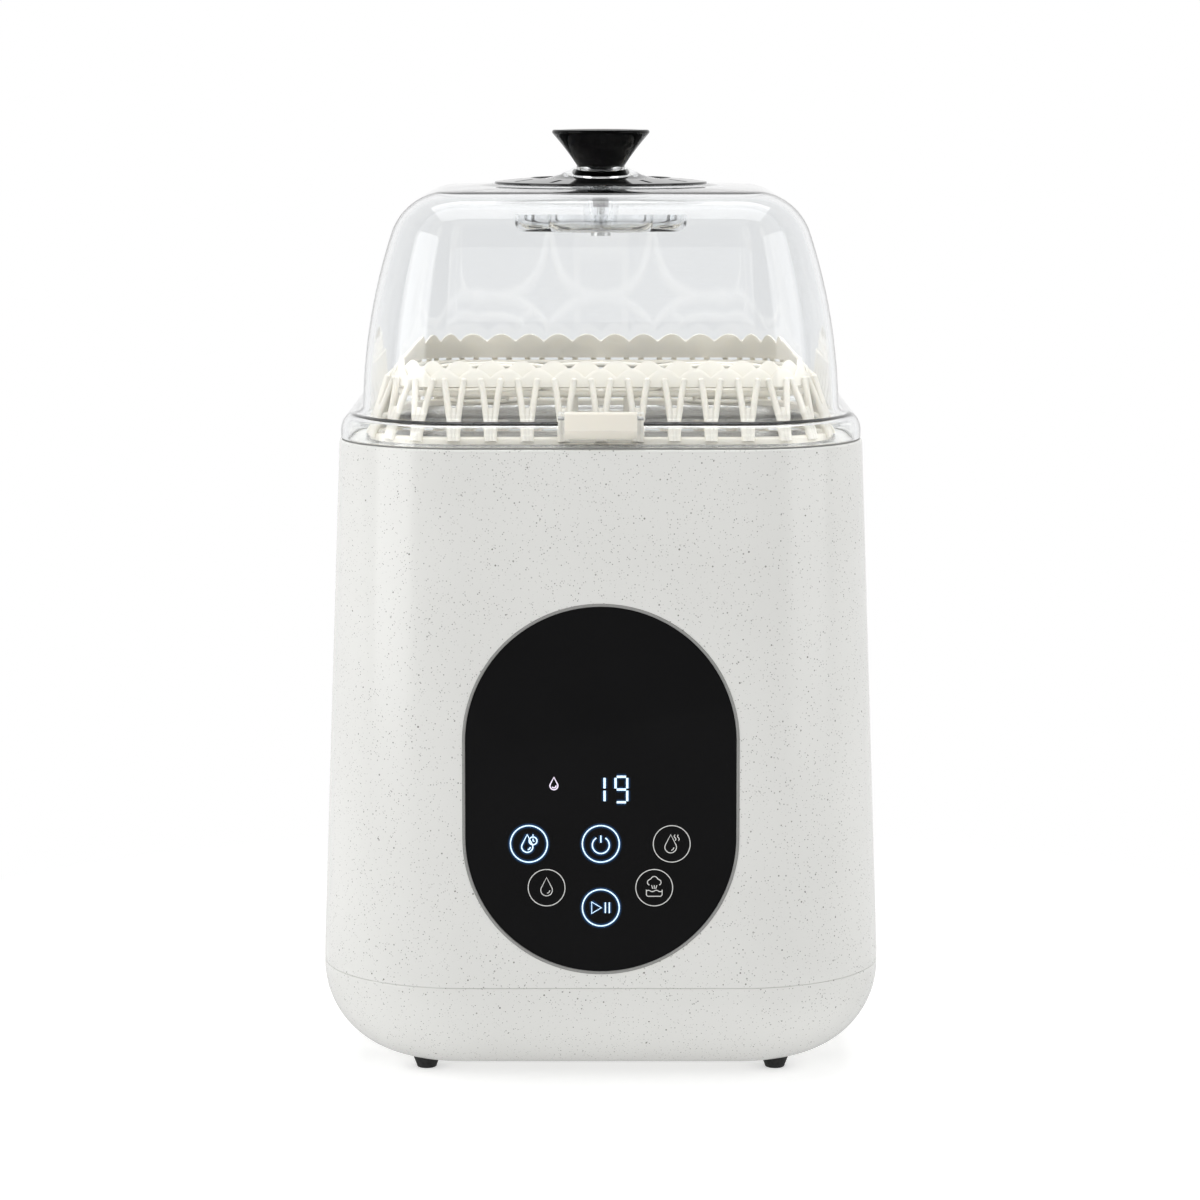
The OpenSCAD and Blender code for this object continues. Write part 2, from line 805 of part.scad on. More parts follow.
// Wash chamber
tub_profile = concat(
    [[tub_rim, body_top], [tub_rim, body_top + sheet], [0, body_top + sheet]],
    arc(-tub_bend, tub_floor + tub_bend, tub_bend, 0, -90, 8),
    [[-tub_corner, tub_floor], [-tub_corner, tub_under]],
    arc(-tub_bend, tub_floor + tub_bend, tub_bend + sheet, -90, 0, 8),
    [[sheet, body_top]]);

module wash_tub() color(steel) at_chamber() difference() {
    union() {
        sweep_round(tub_half, tub_half, tub_corner) polygon(tub_profile);
        translate([tub_corner - tub_half, tub_corner - tub_half, tub_under])
            cube([2 * (tub_half - tub_corner), 2 * (tub_half - tub_corner), sheet]);
    }
    translate([0, 0, tub_under - cut]) cylinder(r = sump_in, h = sheet + 2 * cut);
    translate([stub_x, stub_y - lid_y, tub_under - cut]) cylinder(r = stub_r + stem_gap, h = sheet + 2 * cut);
    for (k = [-2:2])
        translate([k * slot_pitch - slot_w / 2, tub_half - cut, slot_z0])
            cube([slot_w, sheet + 2 * cut, slot_h]);
}

module sump() color(grey_plastic) at_chamber() difference() {
    union() {
        translate([0, 0, sump_z]) cylinder(r = sump_r, h = sump_h);
        translate([0, 0, tub_under - sump_wall]) cylinder(r = sump_flange_r, h = sump_wall);
        translate([sump_in, 0, port_z]) rotate([0, 90, 0])
            cylinder(r = drain_spigot_r, h = drain_x0 + port_push - sump_in);
        translate([-sump_in, 0, port_z]) rotate([0, -90, 0])
            cylinder(r = fill_spigot_r, h = fill_x0 + fill_push - sump_in);
    }
    translate([0, 0, sump_z + sump_wall]) cylinder(r = sump_in, h = sump_h);
    translate([0, 0, sump_z - cut]) cylinder(r = sump_outlet_r, h = sump_wall + 2 * cut);
    translate([0, 0, port_z]) rotate([0, 90, 0])
        cylinder(r = drain_spigot_r - spigot_wall, h = drain_x0 + port_push + cut);
    translate([0, 0, port_z]) rotate([0, -90, 0]) cylinder(r = hose_bore_r, h = fill_x0 + fill_push + cut);
}

module sump_filter() color(steel) at_chamber() difference() {
    rotate_extrude() polygon([[0, filter_z], [filter_r, filter_z], [filter_r, tub_floor],
        [filter_edge, tub_floor], [filter_edge, tub_floor + filter_wall],
        [filter_r - filter_wall, tub_floor + filter_wall], [filter_r - filter_wall, filter_z + filter_wall],
        [0, filter_z + filter_wall]]);
    for (row = [0:3], k = [0:11])
        translate([0, 0, filter_z + filter_first + filter_row_h * row]) rotate(30 * k + 15 * (row % 2))
            translate([filter_r / 2, 0, 0]) rotate([0, 90, 0]) cylinder(r = filter_hole_r, h = filter_r);
    for (k = [0:5]) rotate(60 * k) translate([drain_hole_at, 0, filter_z - cut])
        cylinder(r = drain_hole_r, h = filter_wall + 2 * cut);
}

module heater_ring() color(steel) at_chamber() {
    pipe(heater_out, heater_in, tub_under - heater_plate, tub_under);
    translate([0, 0, tub_under - heater_plate - heater_tube_r / 2]) rotate(-75) rotate_extrude(angle = 330)
        translate([(heater_in + heater_out) / 2, 0]) circle(r = heater_tube_r, $fn = 24);
}

module spray_manifold() color(grey_plastic) at_chamber() difference() {
    union() {
        for (s = [-1, 1]) {
            translate([-post_pitch, s * post_pitch, rail_z]) rotate([0, 90, 0])
                cylinder(r = rail_r, h = 2 * post_pitch);
            translate([s * post_pitch, -post_pitch, rail_z]) rotate([-90, 0, 0])
                cylinder(r = rail_r, h = 2 * post_pitch);
            for (t = [-1, 1])
                translate([s * post_pitch, t * post_pitch, tub_floor])
                    cylinder(r = socket_r, h = rail_z + socket_h - tub_floor);
        }
        translate([stub_x, -post_pitch, rail_z]) rotate([90, 0, 0])
            cylinder(r = stub_r, h = lid_y - post_pitch - stub_y);
        translate([stub_x, stub_y - lid_y, tub_floor])
            cylinder(r = socket_r, h = rail_z + rail_r - tub_floor);
        translate([stub_x, stub_y - lid_y, stub_z]) cylinder(r = stub_r, h = tub_floor - stub_z + cut);
    }
    for (s = [-1, 1], t = [-1, 1])
        translate([s * post_pitch, t * post_pitch, post_foot])
            cylinder(r = post_r + fit_gap, h = socket_h + cut);
    translate([stub_x, stub_y - lid_y, stub_z - cut]) cylinder(r = hose_bore_r, h = rail_z - stub_z + cut);
}

module spray_posts() color(cream) at_chamber()
    for (s = [-1, 1], t = [-1, 1]) translate([s * post_pitch, t * post_pitch, post_foot]) difference() {
        rotate_extrude() polygon(concat([[0, 0], [post_r, 0], [post_r, post_step]],
            arc(0, post_h - post_tip_r, post_tip_r, 0, 90, 6)));
        for (row = [0:3]) translate([0, 0, post_h - nozzle_first - nozzle_pitch * row])
            rotate([90, 0, 60 * row])
            cylinder(r = nozzle_r, h = 4 * post_r, center = true);
    }

module bottle_rack() color(cream) at_chamber() {
    for (s = [-1, 1]) {
        translate([-rack_leg_x - rack_t / 2, s * rack_bar_y - rack_t / 2, rack_z])
            cube([2 * rack_leg_x + rack_t, rack_t, rack_t]);
        translate([s * grip_x - rack_t / 2, -rack_bar_y, rack_z]) cube([rack_t, 2 * rack_bar_y, rack_t]);
        translate([s * grip_x - rack_t / 2, -rack_t / 2, rack_z]) cube([rack_t, rack_t, grip_top - rack_z]);
        for (t = [-1, 1]) {
            translate([s * rack_leg_x - rack_t / 2, t * rack_bar_y - rack_t / 2, tub_floor])
                cube([rack_t, rack_t, rack_z - tub_floor + rack_t]);
            translate([s * post_pitch, t * post_pitch, 0])
                pipe(rack_ring_out, rack_ring_in, rack_z, rack_z + rack_t);
        }
    }
    translate([-grip_x - rack_t / 2, -rack_t / 2, grip_top - rack_t])
        cube([2 * grip_x + rack_t, rack_t, rack_t]);
}

// Accessory tray: forked struts lean in from a foot ring and carry two scalloped bands, one inside the other
module tray_plane(out) {
    translate([0, -out, tray_base_z]) rotate([90 - tray_lean, 0, 0]) children();
}

function scallop_row(x0, pitch, count, low, high) =
    let (half = pitch / 2, r = (half * half + scallop_depth * scallop_depth) / (2 * scallop_depth),
        open = asin(half / r), end = x0 + pitch * count)
    concat([[end, low]],
        [for (k = [count - 1:-1:0]) each arc(x0 + pitch * (k + 0.5), high - r, r, 90 - open, 90 + open, 6)],
        [[x0, low]]);

module scallop_band(x0, pitch, count, high, z) {
    translate([0, 0, z]) linear_extrude(band_t)
        polygon(scallop_row(x0, pitch, count, tray_rise - band_drop, high));
}

module forked_strut() {
    w = strut_w / 2;
    top = tray_rise - fork_drop;
    translate([0, 0, -strut_t]) linear_extrude(strut_t)
        polygon([[-strut_foot, -strut_root], [strut_foot, -strut_root], [strut_foot + w / 4, fork_y],
            [fork_spread + w, top - w / 2], [fork_spread + w / 2, top], [fork_spread - w / 2, top],
            [fork_spread - w, top - w / 2], [0, fork_notch], [w - fork_spread, top - w / 2],
            [w / 2 - fork_spread, top], [-fork_spread - w / 2, top], [-fork_spread - w, top - w / 2],
            [-strut_foot - w / 4, fork_y]]);
}

// Points along the rim, from the start of a corner: before it, round it and after it
function rim_point(s) =
    let (turn = s / rim_r * 180 / PI)
    s < 0 ? [s, -rim_r] : turn > 90 ? [rim_r, s - PI * rim_r / 2] : [rim_r * sin(turn), -rim_r * cos(turn)];

// Scallops that follow a corner as chords, from where the straight row stops to where the next one starts
module corner_row(lead, high, z) {
    run = PI * rim_r / 2 + 2 * lead;
    count = round(run / scallop_pitch);
    for (k = [0:count - 1]) {
        p = rim_point(run * k / count - lead);
        q = rim_point(run * (k + 1) / count - lead);
        turn = atan2(q[1] - p[1], q[0] - p[0]);
        out = p[0] * sin(turn) - p[1] * cos(turn);
        middle = ((p[0] + q[0]) * cos(turn) + (p[1] + q[1]) * sin(turn)) / 2;
        chord = norm(q - p) + 2 * plate_lap;
        rotate(turn) tray_plane(tray_corner - rim_r + out + band_t / 2)
            translate([middle, 0, 0]) scallop_band(-chord / 2, chord, 1, high, z);
    }
}

module accessory_tray() color(cream) at_chamber() {
    sweep_round(tray_half, tray_half, tray_corner)
        translate([-tray_foot_w, tray_foot_z]) square([tray_foot_w, tray_foot_t]);
    outer_run = (scallop_count + 0.5) * scallop_pitch;
    inner_run = (scallop_count + 1) * scallop_pitch;
    outer_z = -strut_t - band_t;
    inner_z = outer_z - band_t;
    for (q = [0:3]) rotate(90 * q) {
        tray_plane(tray_half) {
            for (k = [-strut_count:strut_count]) translate([k * strut_pitch, 0, 0]) forked_strut();
            scallop_band(-outer_run, scallop_pitch, 2 * scallop_count + 1, outer_peak, outer_z);
            scallop_band(-inner_run, scallop_pitch, 2 * scallop_count + 2, tray_rise, inner_z);
        }
        translate([tray_straight, -tray_straight, 0]) {
            for (k = [1:corner_struts]) rotate(90 * k / (corner_struts + 1)) tray_plane(tray_corner)
                forked_strut();
            corner_row(tray_straight - outer_run, outer_peak, outer_z);
            corner_row(tray_straight - inner_run, tray_rise, inner_z);
        }
    }
}

// Floor of the tray: a frame clipped in between the struts, with rods that end at the rings
module tray_floor() color(cream) at_chamber() translate([0, 0, tray_floor_z]) {
    reach = tray_ring_pitch + tray_ring_r + net_gap;
    sweep_round(frame_out, frame_out, tray_corner + frame_out - tray_half)
        translate([-frame_w, 0]) square([frame_w, tray_floor_t]);
    for (q = [0:3], i = [-1:1]) rotate(90 * q)
        translate([reach, i * tray_ring_pitch - tray_ring_w / 2, rod_inset])
            cube([frame_out - frame_w / 2 - reach, tray_ring_w, tray_floor_t - 2 * rod_inset]);
}

module tray_ring(i, j) translate([i * tray_ring_pitch, j * tray_ring_pitch, 0]) {
    pipe(tray_ring_r, tray_ring_r - tray_ring_w, 0, tray_floor_t);
    children();
}

// Rings of the floor's net, in the middle and at its four sides
module tray_rings() color(cream) at_chamber() translate([0, 0, tray_floor_z])
    for (i = [-1:1], j = [-1:1]) if (i * j == 0) tray_ring(i, j);

// Corner rings of the net, each with a guide for a bottle's neck on four arms
module neck_guides() color(cream) at_chamber() translate([0, 0, tray_floor_z])
    for (s = [-1, 1], t = [-1, 1]) tray_ring(s, t) {
        pipe(guide_r + guide_w / 2, guide_r - guide_w / 2, -guide_drop, guide_lap);
        for (k = [0:3]) rotate(45 + 90 * k)
            translate([guide_r, -guide_w / 2, -arm_drop])
                cube([tray_ring_r - tray_ring_w / 2 - guide_r, guide_w, 2 * arm_drop]);
    }

// Lid
flange_top = lid_z + flange_h;
wall_start = asin((flange_top - wall_z) / dome_bow);
wall_start_in = asin((flange_top - lid_t - wall_z) / (dome_bow - lid_t));
dome_profile = concat(
    [[0, lid_z]],
    oval(-flange_step, lid_z + skirt_h, flange_step, flange_h - skirt_h, 0, 90, 8),
    arc(wall_cx, wall_z, dome_bow, wall_start, wall_end, arc_steps),
    arc(shoulder_cx, shoulder_cz, shoulder_r, wall_end + 6, shoulder_end, arc_steps),
    [[-lid_corner, roof_z], [-lid_corner, roof_z - lid_t]],
    arc(shoulder_cx, shoulder_cz, shoulder_r - lid_t, shoulder_end, wall_end + 6, arc_steps),
    arc(wall_cx, wall_z, dome_bow - lid_t, wall_end, wall_start_in, arc_steps),
    oval(-flange_step - lid_t, lid_z + skirt_h, flange_step, flange_h - skirt_h - lid_t, 90, 0, 8),
    [[-lid_t, lid_z]]);
cap_steps = 8;
cap_outer = [for (i = [0:cap_steps]) let (r = cap_r * i / cap_steps) [r, cap_z(r)]];
cap_inner = [for (i = [0:cap_steps]) let (r = (cap_r - 1) * i / cap_steps) [r, cap_z(r) - lid_t]];

module lid_dome() color(clear) at_chamber() difference() {
    union() {
        sweep_round(lid_half, lid_half, lid_corner) polygon(dome_profile);
        translate([lid_corner - lid_half, lid_corner - lid_half, roof_z - lid_t])
            cube([2 * (lid_half - lid_corner), 2 * (lid_half - lid_corner), lid_t]);
        rotate_extrude() polygon(concat(cap_outer, [[cap_r, roof_z - lid_t / 2], [0, roof_z - lid_t / 2]]));
        rotate_extrude() polygon([[0, dome_top - lid_t / 2], [boss_foot_r, dome_top - lid_t / 2],
            [boss_foot_r, dome_top], [boss_top_r, dome_top + knob_boss_h], [0, dome_top + knob_boss_h]]);
        latch_block();
    }
    rotate_extrude()
        polygon(concat(cap_inner, [[cap_r - 1, roof_z - lid_t - cut], [0, roof_z - lid_t - cut]]));
    rotate_extrude() polygon([[ring_in - ring_gap, ring_bed(ring_in - ring_gap)],
        [ring_out + ring_gap, ring_bed(ring_out + ring_gap)], [ring_out + ring_gap, dome_top + cut],
        [ring_in - ring_gap, dome_top + cut]]);
    vent_slots(roof_z - 2 * lid_t);
    translate([0, 0, dome_top]) cylinder(r = knob_neck_r + neck_gap, h = knob_boss_h + cut);
    translate([0, 0, dome_top - 2 * lid_t]) cylinder(r = stem_hole_r, h = 3 * lid_t);
    latch_notch();
}

module vent_slots(z) {
    for (k = [0:vent_count - 1]) rotate(360 * k / vent_count)
        translate([vent_in, -vent_w / 2, z]) cube([vent_out - vent_in, vent_w, 5 * lid_t]);
}

// Thickened flange that the latch is let into
module latch_block() {
    translate([-latch_half - latch_block, latch_room - lid_half, lid_z])
        cube([2 * (latch_half + latch_block), flange_step + lid_t - latch_room - block_drop,
            flange_h - block_drop]);
}

module latch_notch() {
    translate([-latch_half - latch_room, -lid_half - cut, lid_z - cut])
        cube([latch_w + 2 * latch_room, latch_depth + cut, flange_h + 4 * cut]);
    translate([0, pin_in - lid_half, pin_z]) rotate([0, 90, 0])
        cylinder(r = pin_r + fit_gap, h = latch_w + 2 * latch_block + cut, center = true);
}

module lid_seal() color(grey_plastic) at_chamber()
    sweep_round(lid_half, lid_half, lid_corner)
        translate([-seal_in, body_top]) square([seal_w, seal_h]);

module vent_ring() color(black_gloss) at_chamber() difference() {
    rotate_extrude() polygon([[ring_in, ring_z(ring_in)], [ring_out, ring_z(ring_out)],
        [ring_out, ring_z(ring_out) + ring_t - ring_edge], [ring_out - ring_edge, ring_z(ring_out) + ring_t],
        [ring_in, ring_z(ring_in) + ring_t]]);
    vent_slots(roof_z - 2 * lid_t);
}

module lid_knob() color(black_gloss) at_chamber() translate([0, 0, dome_top]) difference() {
    rotate_extrude() polygon(concat(
        [[0, -stem_len], [stem_r, -stem_len], [stem_r, 0], [knob_neck_r, 0],
         [knob_neck_r, knob_boss_h + knob_shadow], [knob_r - 0.75 * knob_edge_r, knob_h - knob_side]],
        arc(knob_r - knob_edge_r, knob_h - knob_edge_r, knob_edge_r, -30, 90, 6),
        [[knob_r - knob_rim_w, knob_h], [knob_r - knob_dish_w, knob_h - knob_dish],
         [0, knob_h - knob_dish]]));
    translate([0, 0, -stem_len - cut]) cylinder(r = clamp_screw_r + fit_gap, h = stem_len + knob_h / 2 + cut);
}

module knob_screw() color(steel) at_chamber() translate([0, 0, deflector_z])
    rotate_extrude() polygon([[0, -clamp_head_h], [clamp_head_r, -clamp_head_h], [clamp_head_r, 0],
        [clamp_screw_r, 0], [clamp_screw_r, clamp_screw_len], [0, clamp_screw_len]]);

module spray_deflector() color(clear) at_chamber() translate([0, 0, deflector_z]) difference() {
    union() {
        difference() {
            petal_wheel(petal_r, 0, deflector_h);
            petal_wheel(petal_r - petal_wall, deflector_t, deflector_h + cut);
        }
        cylinder(r = hub_r, h = deflector_drop - lid_t - hub_gap);
        for (k = [0:petals - 1]) rotate(360 * k / petals)
            translate([hub_r - 1, -petal_wall / 2, deflector_t / 2])
                cube([petal_at + petal_r - petal_wall - hub_r + 0.5, petal_wall, deflector_h / 2]);
    }
    translate([0, 0, -cut]) cylinder(r = clamp_screw_r + clamp_gap, h = deflector_drop);
    translate([0, 0, deflector_drop - stem_len - stem_room]) cylinder(r = stem_r + clamp_gap, h = stem_len);
}

module petal_wheel(r, z0, z1) {
    translate([0, 0, z0]) {
        cylinder(r = petal_at, h = z1 - z0);
        for (k = [0:petals - 1]) rotate(360 * (k + 0.5) / petals)
            translate([petal_at, 0, 0]) cylinder(r = r, h = z1 - z0);
    }
}

module lid_latch() color(cream) at_chamber() translate([0, -lid_half, lid_z]) difference() {
    union() {
        rotate([90, 0, 90]) translate([0, 0, -latch_half]) linear_extrude(latch_w)
            polygon([[lip_in, latch_foot], [lip_in / 5, latch_foot + ridge_out / 2],
                [-ridge_out / 3, latch_ridge - ridge_out], [-ridge_out, latch_ridge],
                [-ridge_out, latch_ridge + ridge_out], [lip_in, latch_top - lip_in], [2 * lip_in, latch_top],
                [pin_in, latch_top], [pin_in, pin_z - lid_z - barrel_r],
                [latch_t, latch_foot + 3 * ridge_out],
                [latch_t, latch_foot]]);
        translate([-latch_half, pin_in, pin_z - lid_z]) rotate([0, 90, 0])
            cylinder(r = barrel_r, h = latch_w);
    }
    translate([-latch_half - cut, pin_in, pin_z - lid_z]) rotate([0, 90, 0])
        cylinder(r = pin_r + fit_gap, h = latch_w + 2 * cut);
}

module latch_pin() color(steel) at_chamber() translate([0, pin_in - lid_half, pin_z]) rotate([0, 90, 0])
    cylinder(r = pin_r, h = latch_w + 2 * latch_block, center = true);

// Tank bay: front wall, floor and divider inside the housing, with a valve seat under each tank
module tank_bay() color(grey_plastic)
    for (side = [0, 1]) mirror([side, 0, 0]) difference() {
        union() {
            rear_block(wall + bay_lip, bay_front, 0, bay_z, tank_z);
            difference() {
                rear_block(bay_side, bay_front, 0, bay_z, deck_z);
                rear_block(bay_side - cut, bay_in, divider / 2, bay_z - cut, deck_z + cut);
            }
            translate([valve_x, valve_y, bay_z - seat_depth]) cylinder(r = seat_r, h = seat_depth + cut);
            translate([valve_x, valve_y, seat_spigot_z]) rotate([90, 0, 0])
                cylinder(r = fill_spigot_r, h = valve_y - seat_spigot_y);
        }
        translate([valve_x, valve_y, bay_z - seat_depth + seat_base])
            cylinder(r = seat_bore_r, h = seat_depth + 2 * cut);
        translate([valve_x, valve_y, seat_spigot_z]) rotate([90, 0, 0])
            cylinder(r = hose_bore_r, h = valve_y - seat_spigot_y + cut);
    }

// Rim round the tanks, in two halves that lie on the bay's front wall and divider
module tank_rim() color(shell_colour) for (side = [0, 1]) mirror([side, 0, 0]) difference() {
    rear_block(rim_out, deck_end + rim_gap, rim_gap / 2, deck_z, body_top);
    rear_block(bay_off, deck_end, -cut, deck_z - cut, body_top + cut);
}

module tank_shell() difference() {
    rear_block(tank_off, tank_front, tank_x, tank_z, tank_top);
    rear_block(tank_off + tank_wall, tank_front + tank_wall, tank_x + tank_wall,
        tank_z + tank_wall, tank_top + cut);
    translate([valve_x, valve_y, tank_z - cut]) cylinder(r = valve_r + fit_gap, h = tank_wall + 2 * cut);
}

module tank_lid() difference() {
    union() {
        rear_block(tank_off, tank_front, tank_x, tank_top, tank_top + tank_lid_h);
        rear_block(tank_off + plug_in, tank_front + plug_in, tank_x + plug_in,
            tank_top - plug_h, tank_top + cut);
        for (x = [bail_x0 + bail_t + bail_side, bail_x1 - bail_t - bail_side - ear_t])
            translate([x, bail_y, bail_z]) rotate([0, 90, 0]) cylinder(r = bail_end_r, h = ear_t);
        for (x = [bail_x0 + bail_t + bail_side, bail_x1 - bail_t - bail_side - ear_t])
            translate([x, bail_y - bail_end_r, tank_top + tank_lid_h - cut])
                cube([ear_t, 2 * bail_end_r, bail_z - tank_top - tank_lid_h + cut]);
    }
    rear_block(tank_off + skin_in, tank_front + skin_in, tank_x + skin_in,
        tank_top - plug_h - cut, tank_top + tank_lid_h - tank_lid_t);
    for (x = [bail_x0, bail_x1 - bail_t - bail_side - ear_t - cut])
        translate([x, bail_y, bail_z]) rotate([0, 90, 0])
            cylinder(r = bail_pin_r + fit_gap, h = bail_t + bail_side + ear_t + cut);
}

// Bail handle, folded back flat on the tank's lid, with a pin at each end
module tank_handle() {
    for (side = [0, 1]) {
        x = side == 0 ? bail_x0 : bail_x1 - bail_t;
        pin = side == 0 ? bail_x0 + bail_t : bail_x1 - bail_t - bail_side - ear_t;
        translate([x, bail_y, bail_z]) rotate([0, 90, 0]) cylinder(r = bail_end_r, h = bail_t);
        translate([x, bail_y, bail_z - bail_t / 2]) cube([bail_t, bail_reach, bail_t]);
        translate([pin - (side == 0 ? cut : 0), bail_y, bail_z]) rotate([0, 90, 0])
            cylinder(r = bail_pin_r, h = bail_side + ear_t + cut);
    }
    translate([bail_x0, bail_y + bail_reach - bail_t, bail_z - bail_t / 2])
        cube([bail_x1 - bail_x0, bail_t, bail_t]);
}

module tank_valve() translate([valve_x, valve_y, tank_z]) difference() {
    union() {
        translate([0, 0, -valve_drop]) cylinder(r = valve_r, h = valve_drop + tank_wall + cut);
        translate([0, 0, tank_wall]) cylinder(r = valve_flange_r, h = valve_flange_t);
    }
    translate([0, 0, -valve_drop - cut])
        cylinder(r = valve_port_r, h = valve_drop + tank_wall + valve_flange_t + 2 * cut);
}

module clean_tank() color(clear) tank_shell();
module clean_tank_lid() color(shell_colour) tank_lid();
module clean_tank_handle() color(grey_plastic) tank_handle();
module clean_tank_valve() color(dark_plastic) tank_valve();
module waste_tank() color([0.5, 0.5, 0.52, 0.5]) mirror([1, 0, 0]) tank_shell();
module waste_tank_lid() color(shell_colour) mirror([1, 0, 0]) tank_lid();
module waste_tank_handle() color(grey_plastic) mirror([1, 0, 0]) tank_handle();
module waste_tank_valve() color(dark_plastic) mirror([1, 0, 0]) tank_valve();

// Wash pump, under the sump
module wash_pump_housing() color(dark_plastic) at_chamber() difference() {
    union() {
        translate([0, 0, pump_z]) cylinder(r = pump_r, h = pump_h);
        translate([pump_out_x, 0, pump_out_z]) rotate([90, 0, 0])
            cylinder(r = fill_spigot_r, h = lid_y - pump_out_y);
    }
    translate([0, 0, pump_z + pump_wall])
        cylinder(r = pump_r - chamber_in, h = pump_h - 2 * pump_wall - wheel_run);
    translate([0, 0, pump_z + pump_h / 2]) cylinder(r = pump_in_r, h = pump_h);
    translate([0, 0, pump_z - cut]) cylinder(r = pump_shaft_r + fit_gap, h = pump_h / 2);
    translate([pump_out_x, 0, pump_out_z]) rotate([90, 0, 0])
        cylinder(r = hose_bore_r, h = lid_y - pump_out_y + cut);
}

module wash_pump_motor() color(steel) at_chamber() difference() {
    union() {
        translate([0, 0, motor_z]) cylinder(r = motor_r, h = motor_h);
        translate([0, 0, motor_z - motor_cap_h]) cylinder(r = motor_cap_r, h = motor_cap_h + cut);
    }
    translate([0, 0, motor_z + motor_h / 2]) cylinder(r = pump_shaft_r + fit_gap, h = motor_h);
}

module wash_pump_impeller() color(cream) at_chamber() translate([0, 0, pump_z]) {
    translate([0, 0, cut - motor_h / 2]) cylinder(r = pump_shaft_r, h = motor_h / 2 + pump_wall + wheel_t);
    translate([0, 0, pump_wall + wheel_run]) cylinder(r = pump_r - wheel_in, h = wheel_t);
    for (k = [0:5]) rotate(60 * k) translate([vane_in, -vane_t / 2, pump_wall + 2 * wheel_run])
        cube([pump_r - vane_trim, vane_t, vane_h]);
}

// Drain pump, on a level axis along X
module drain_pump_body() color(dark_plastic) at_chamber() translate([0, 0, port_z]) difference() {
    union() {
        translate([drain_x0, 0, 0]) rotate([0, 90, 0]) cylinder(r = drain_r, h = drain_x1 - drain_x0);
        translate([drain_out_x, 0, 0]) rotate([-90, 0, 0])
            cylinder(r = fill_spigot_r, h = drain_out_y - lid_y);
    }
    translate([drain_x0 + drain_wall + drain_run, 0, 0]) rotate([0, 90, 0])
        cylinder(r = drain_chamber_r, h = drain_x1 - drain_x0 - 2 * drain_wall - drain_run);
    translate([drain_x0 - cut, 0, 0]) rotate([0, 90, 0])
        cylinder(r = drain_spigot_r + fit_gap, h = drain_wall + port_push + cut);
    translate([drain_x1 - drain_wall - cut, 0, 0]) rotate([0, 90, 0])
        cylinder(r = drain_shaft_r + fit_gap, h = drain_wall + 2 * cut);
    translate([drain_out_x, 0, 0]) rotate([-90, 0, 0])
        cylinder(r = hose_bore_r, h = drain_out_y - lid_y + cut);
}

module on_drain(x) {
    at_chamber() translate([x, 0, port_z]) rotate([0, 90, 0]) children();
}

module drain_pump_motor() color(steel) on_drain(drain_x1) difference() {
    union() {
        cylinder(r = drain_motor_r, h = drain_motor_len);
        translate([0, 0, drain_motor_len - cut]) cylinder(r = drain_motor_r / 2, h = drain_cap_h + cut);
    }
    translate([0, 0, -cut]) cylinder(r = drain_shaft_r + fit_gap, h = drain_bore + cut);
}

module drain_pump_impeller() color(cream) on_drain(drain_x1 - drain_wall) {
    translate([0, 0, -2 * drain_run]) {
        cylinder(r = drain_shaft_r, h = drain_wall + drain_shaft_end);
        cylinder(r = drain_chamber_r - drain_disc_in, h = drain_run);
        for (k = [0:3]) rotate(90 * k) translate([paddle_in, -paddle_t / 2, cut - paddle_l])
            cube([drain_chamber_r - paddle_trim, paddle_t, paddle_l]);
    }
}

// Fill valve with its coil to the front
module fill_valve() color(dark_plastic) at_chamber() translate([0, 0, port_z]) difference() {
    union() {
        translate([-fill_x0, 0, 0]) rotate([0, -90, 0]) cylinder(r = fill_r, h = fill_x1 - fill_x0);
        translate([-fill_x1 + cut, 0, 0]) rotate([0, -90, 0])
            cylinder(r = fill_spigot_r, h = fill_out_x - fill_x1 + cut);
        translate([-(fill_x0 + fill_x1) / 2, 0, 0]) rotate([90, 0, 0])
            cylinder(r = fill_coil_r, h = fill_coil_len);
    }
    translate([-fill_x0 + cut, 0, 0]) rotate([0, -90, 0])
        cylinder(r = fill_spigot_r + fit_gap, h = fill_push + 2 * cut);
    translate([-fill_x0, 0, 0]) rotate([0, -90, 0]) cylinder(r = hose_bore_r, h = fill_out_x - fill_x0 + cut);
}

// Drying fan in the base, blowing up a flat duct behind the tub
module fan_housing() color(dark_plastic) difference() {
    union() {
        translate([fan_x, fan_y, fan_z]) cylinder(r = fan_r, h = fan_h);
        translate([duct_half, duct_y0 + outlet_in, fan_z + outlet_edge])
            cube([fan_x - duct_half, duct_y1 - duct_y0 - outlet_in - outlet_edge / 2,
                fan_h - 2 * outlet_edge]);
    }
    translate([fan_x, fan_y, fan_z + fan_wall]) cylinder(r = fan_r - fan_wall, h = fan_h - 2 * fan_wall);
    translate([fan_x, fan_y, fan_z - cut]) cylinder(r = fan_in_r, h = fan_h / 2);
    translate([fan_x, fan_y, fan_z + fan_h / 2]) cylinder(r = fan_shaft_r + fit_gap, h = fan_h);
    translate([duct_half - cut, duct_y0 + outlet_in + outlet_edge, fan_z + 2 * outlet_edge])
        cube([fan_x - duct_half, outlet_d, fan_h - 4 * outlet_edge]);
}

module fan_motor() color(steel) translate([fan_x, fan_y, fan_z + fan_h])
    pipe(fan_motor_r, fan_shaft_r + fit_gap, 0, fan_motor_h);

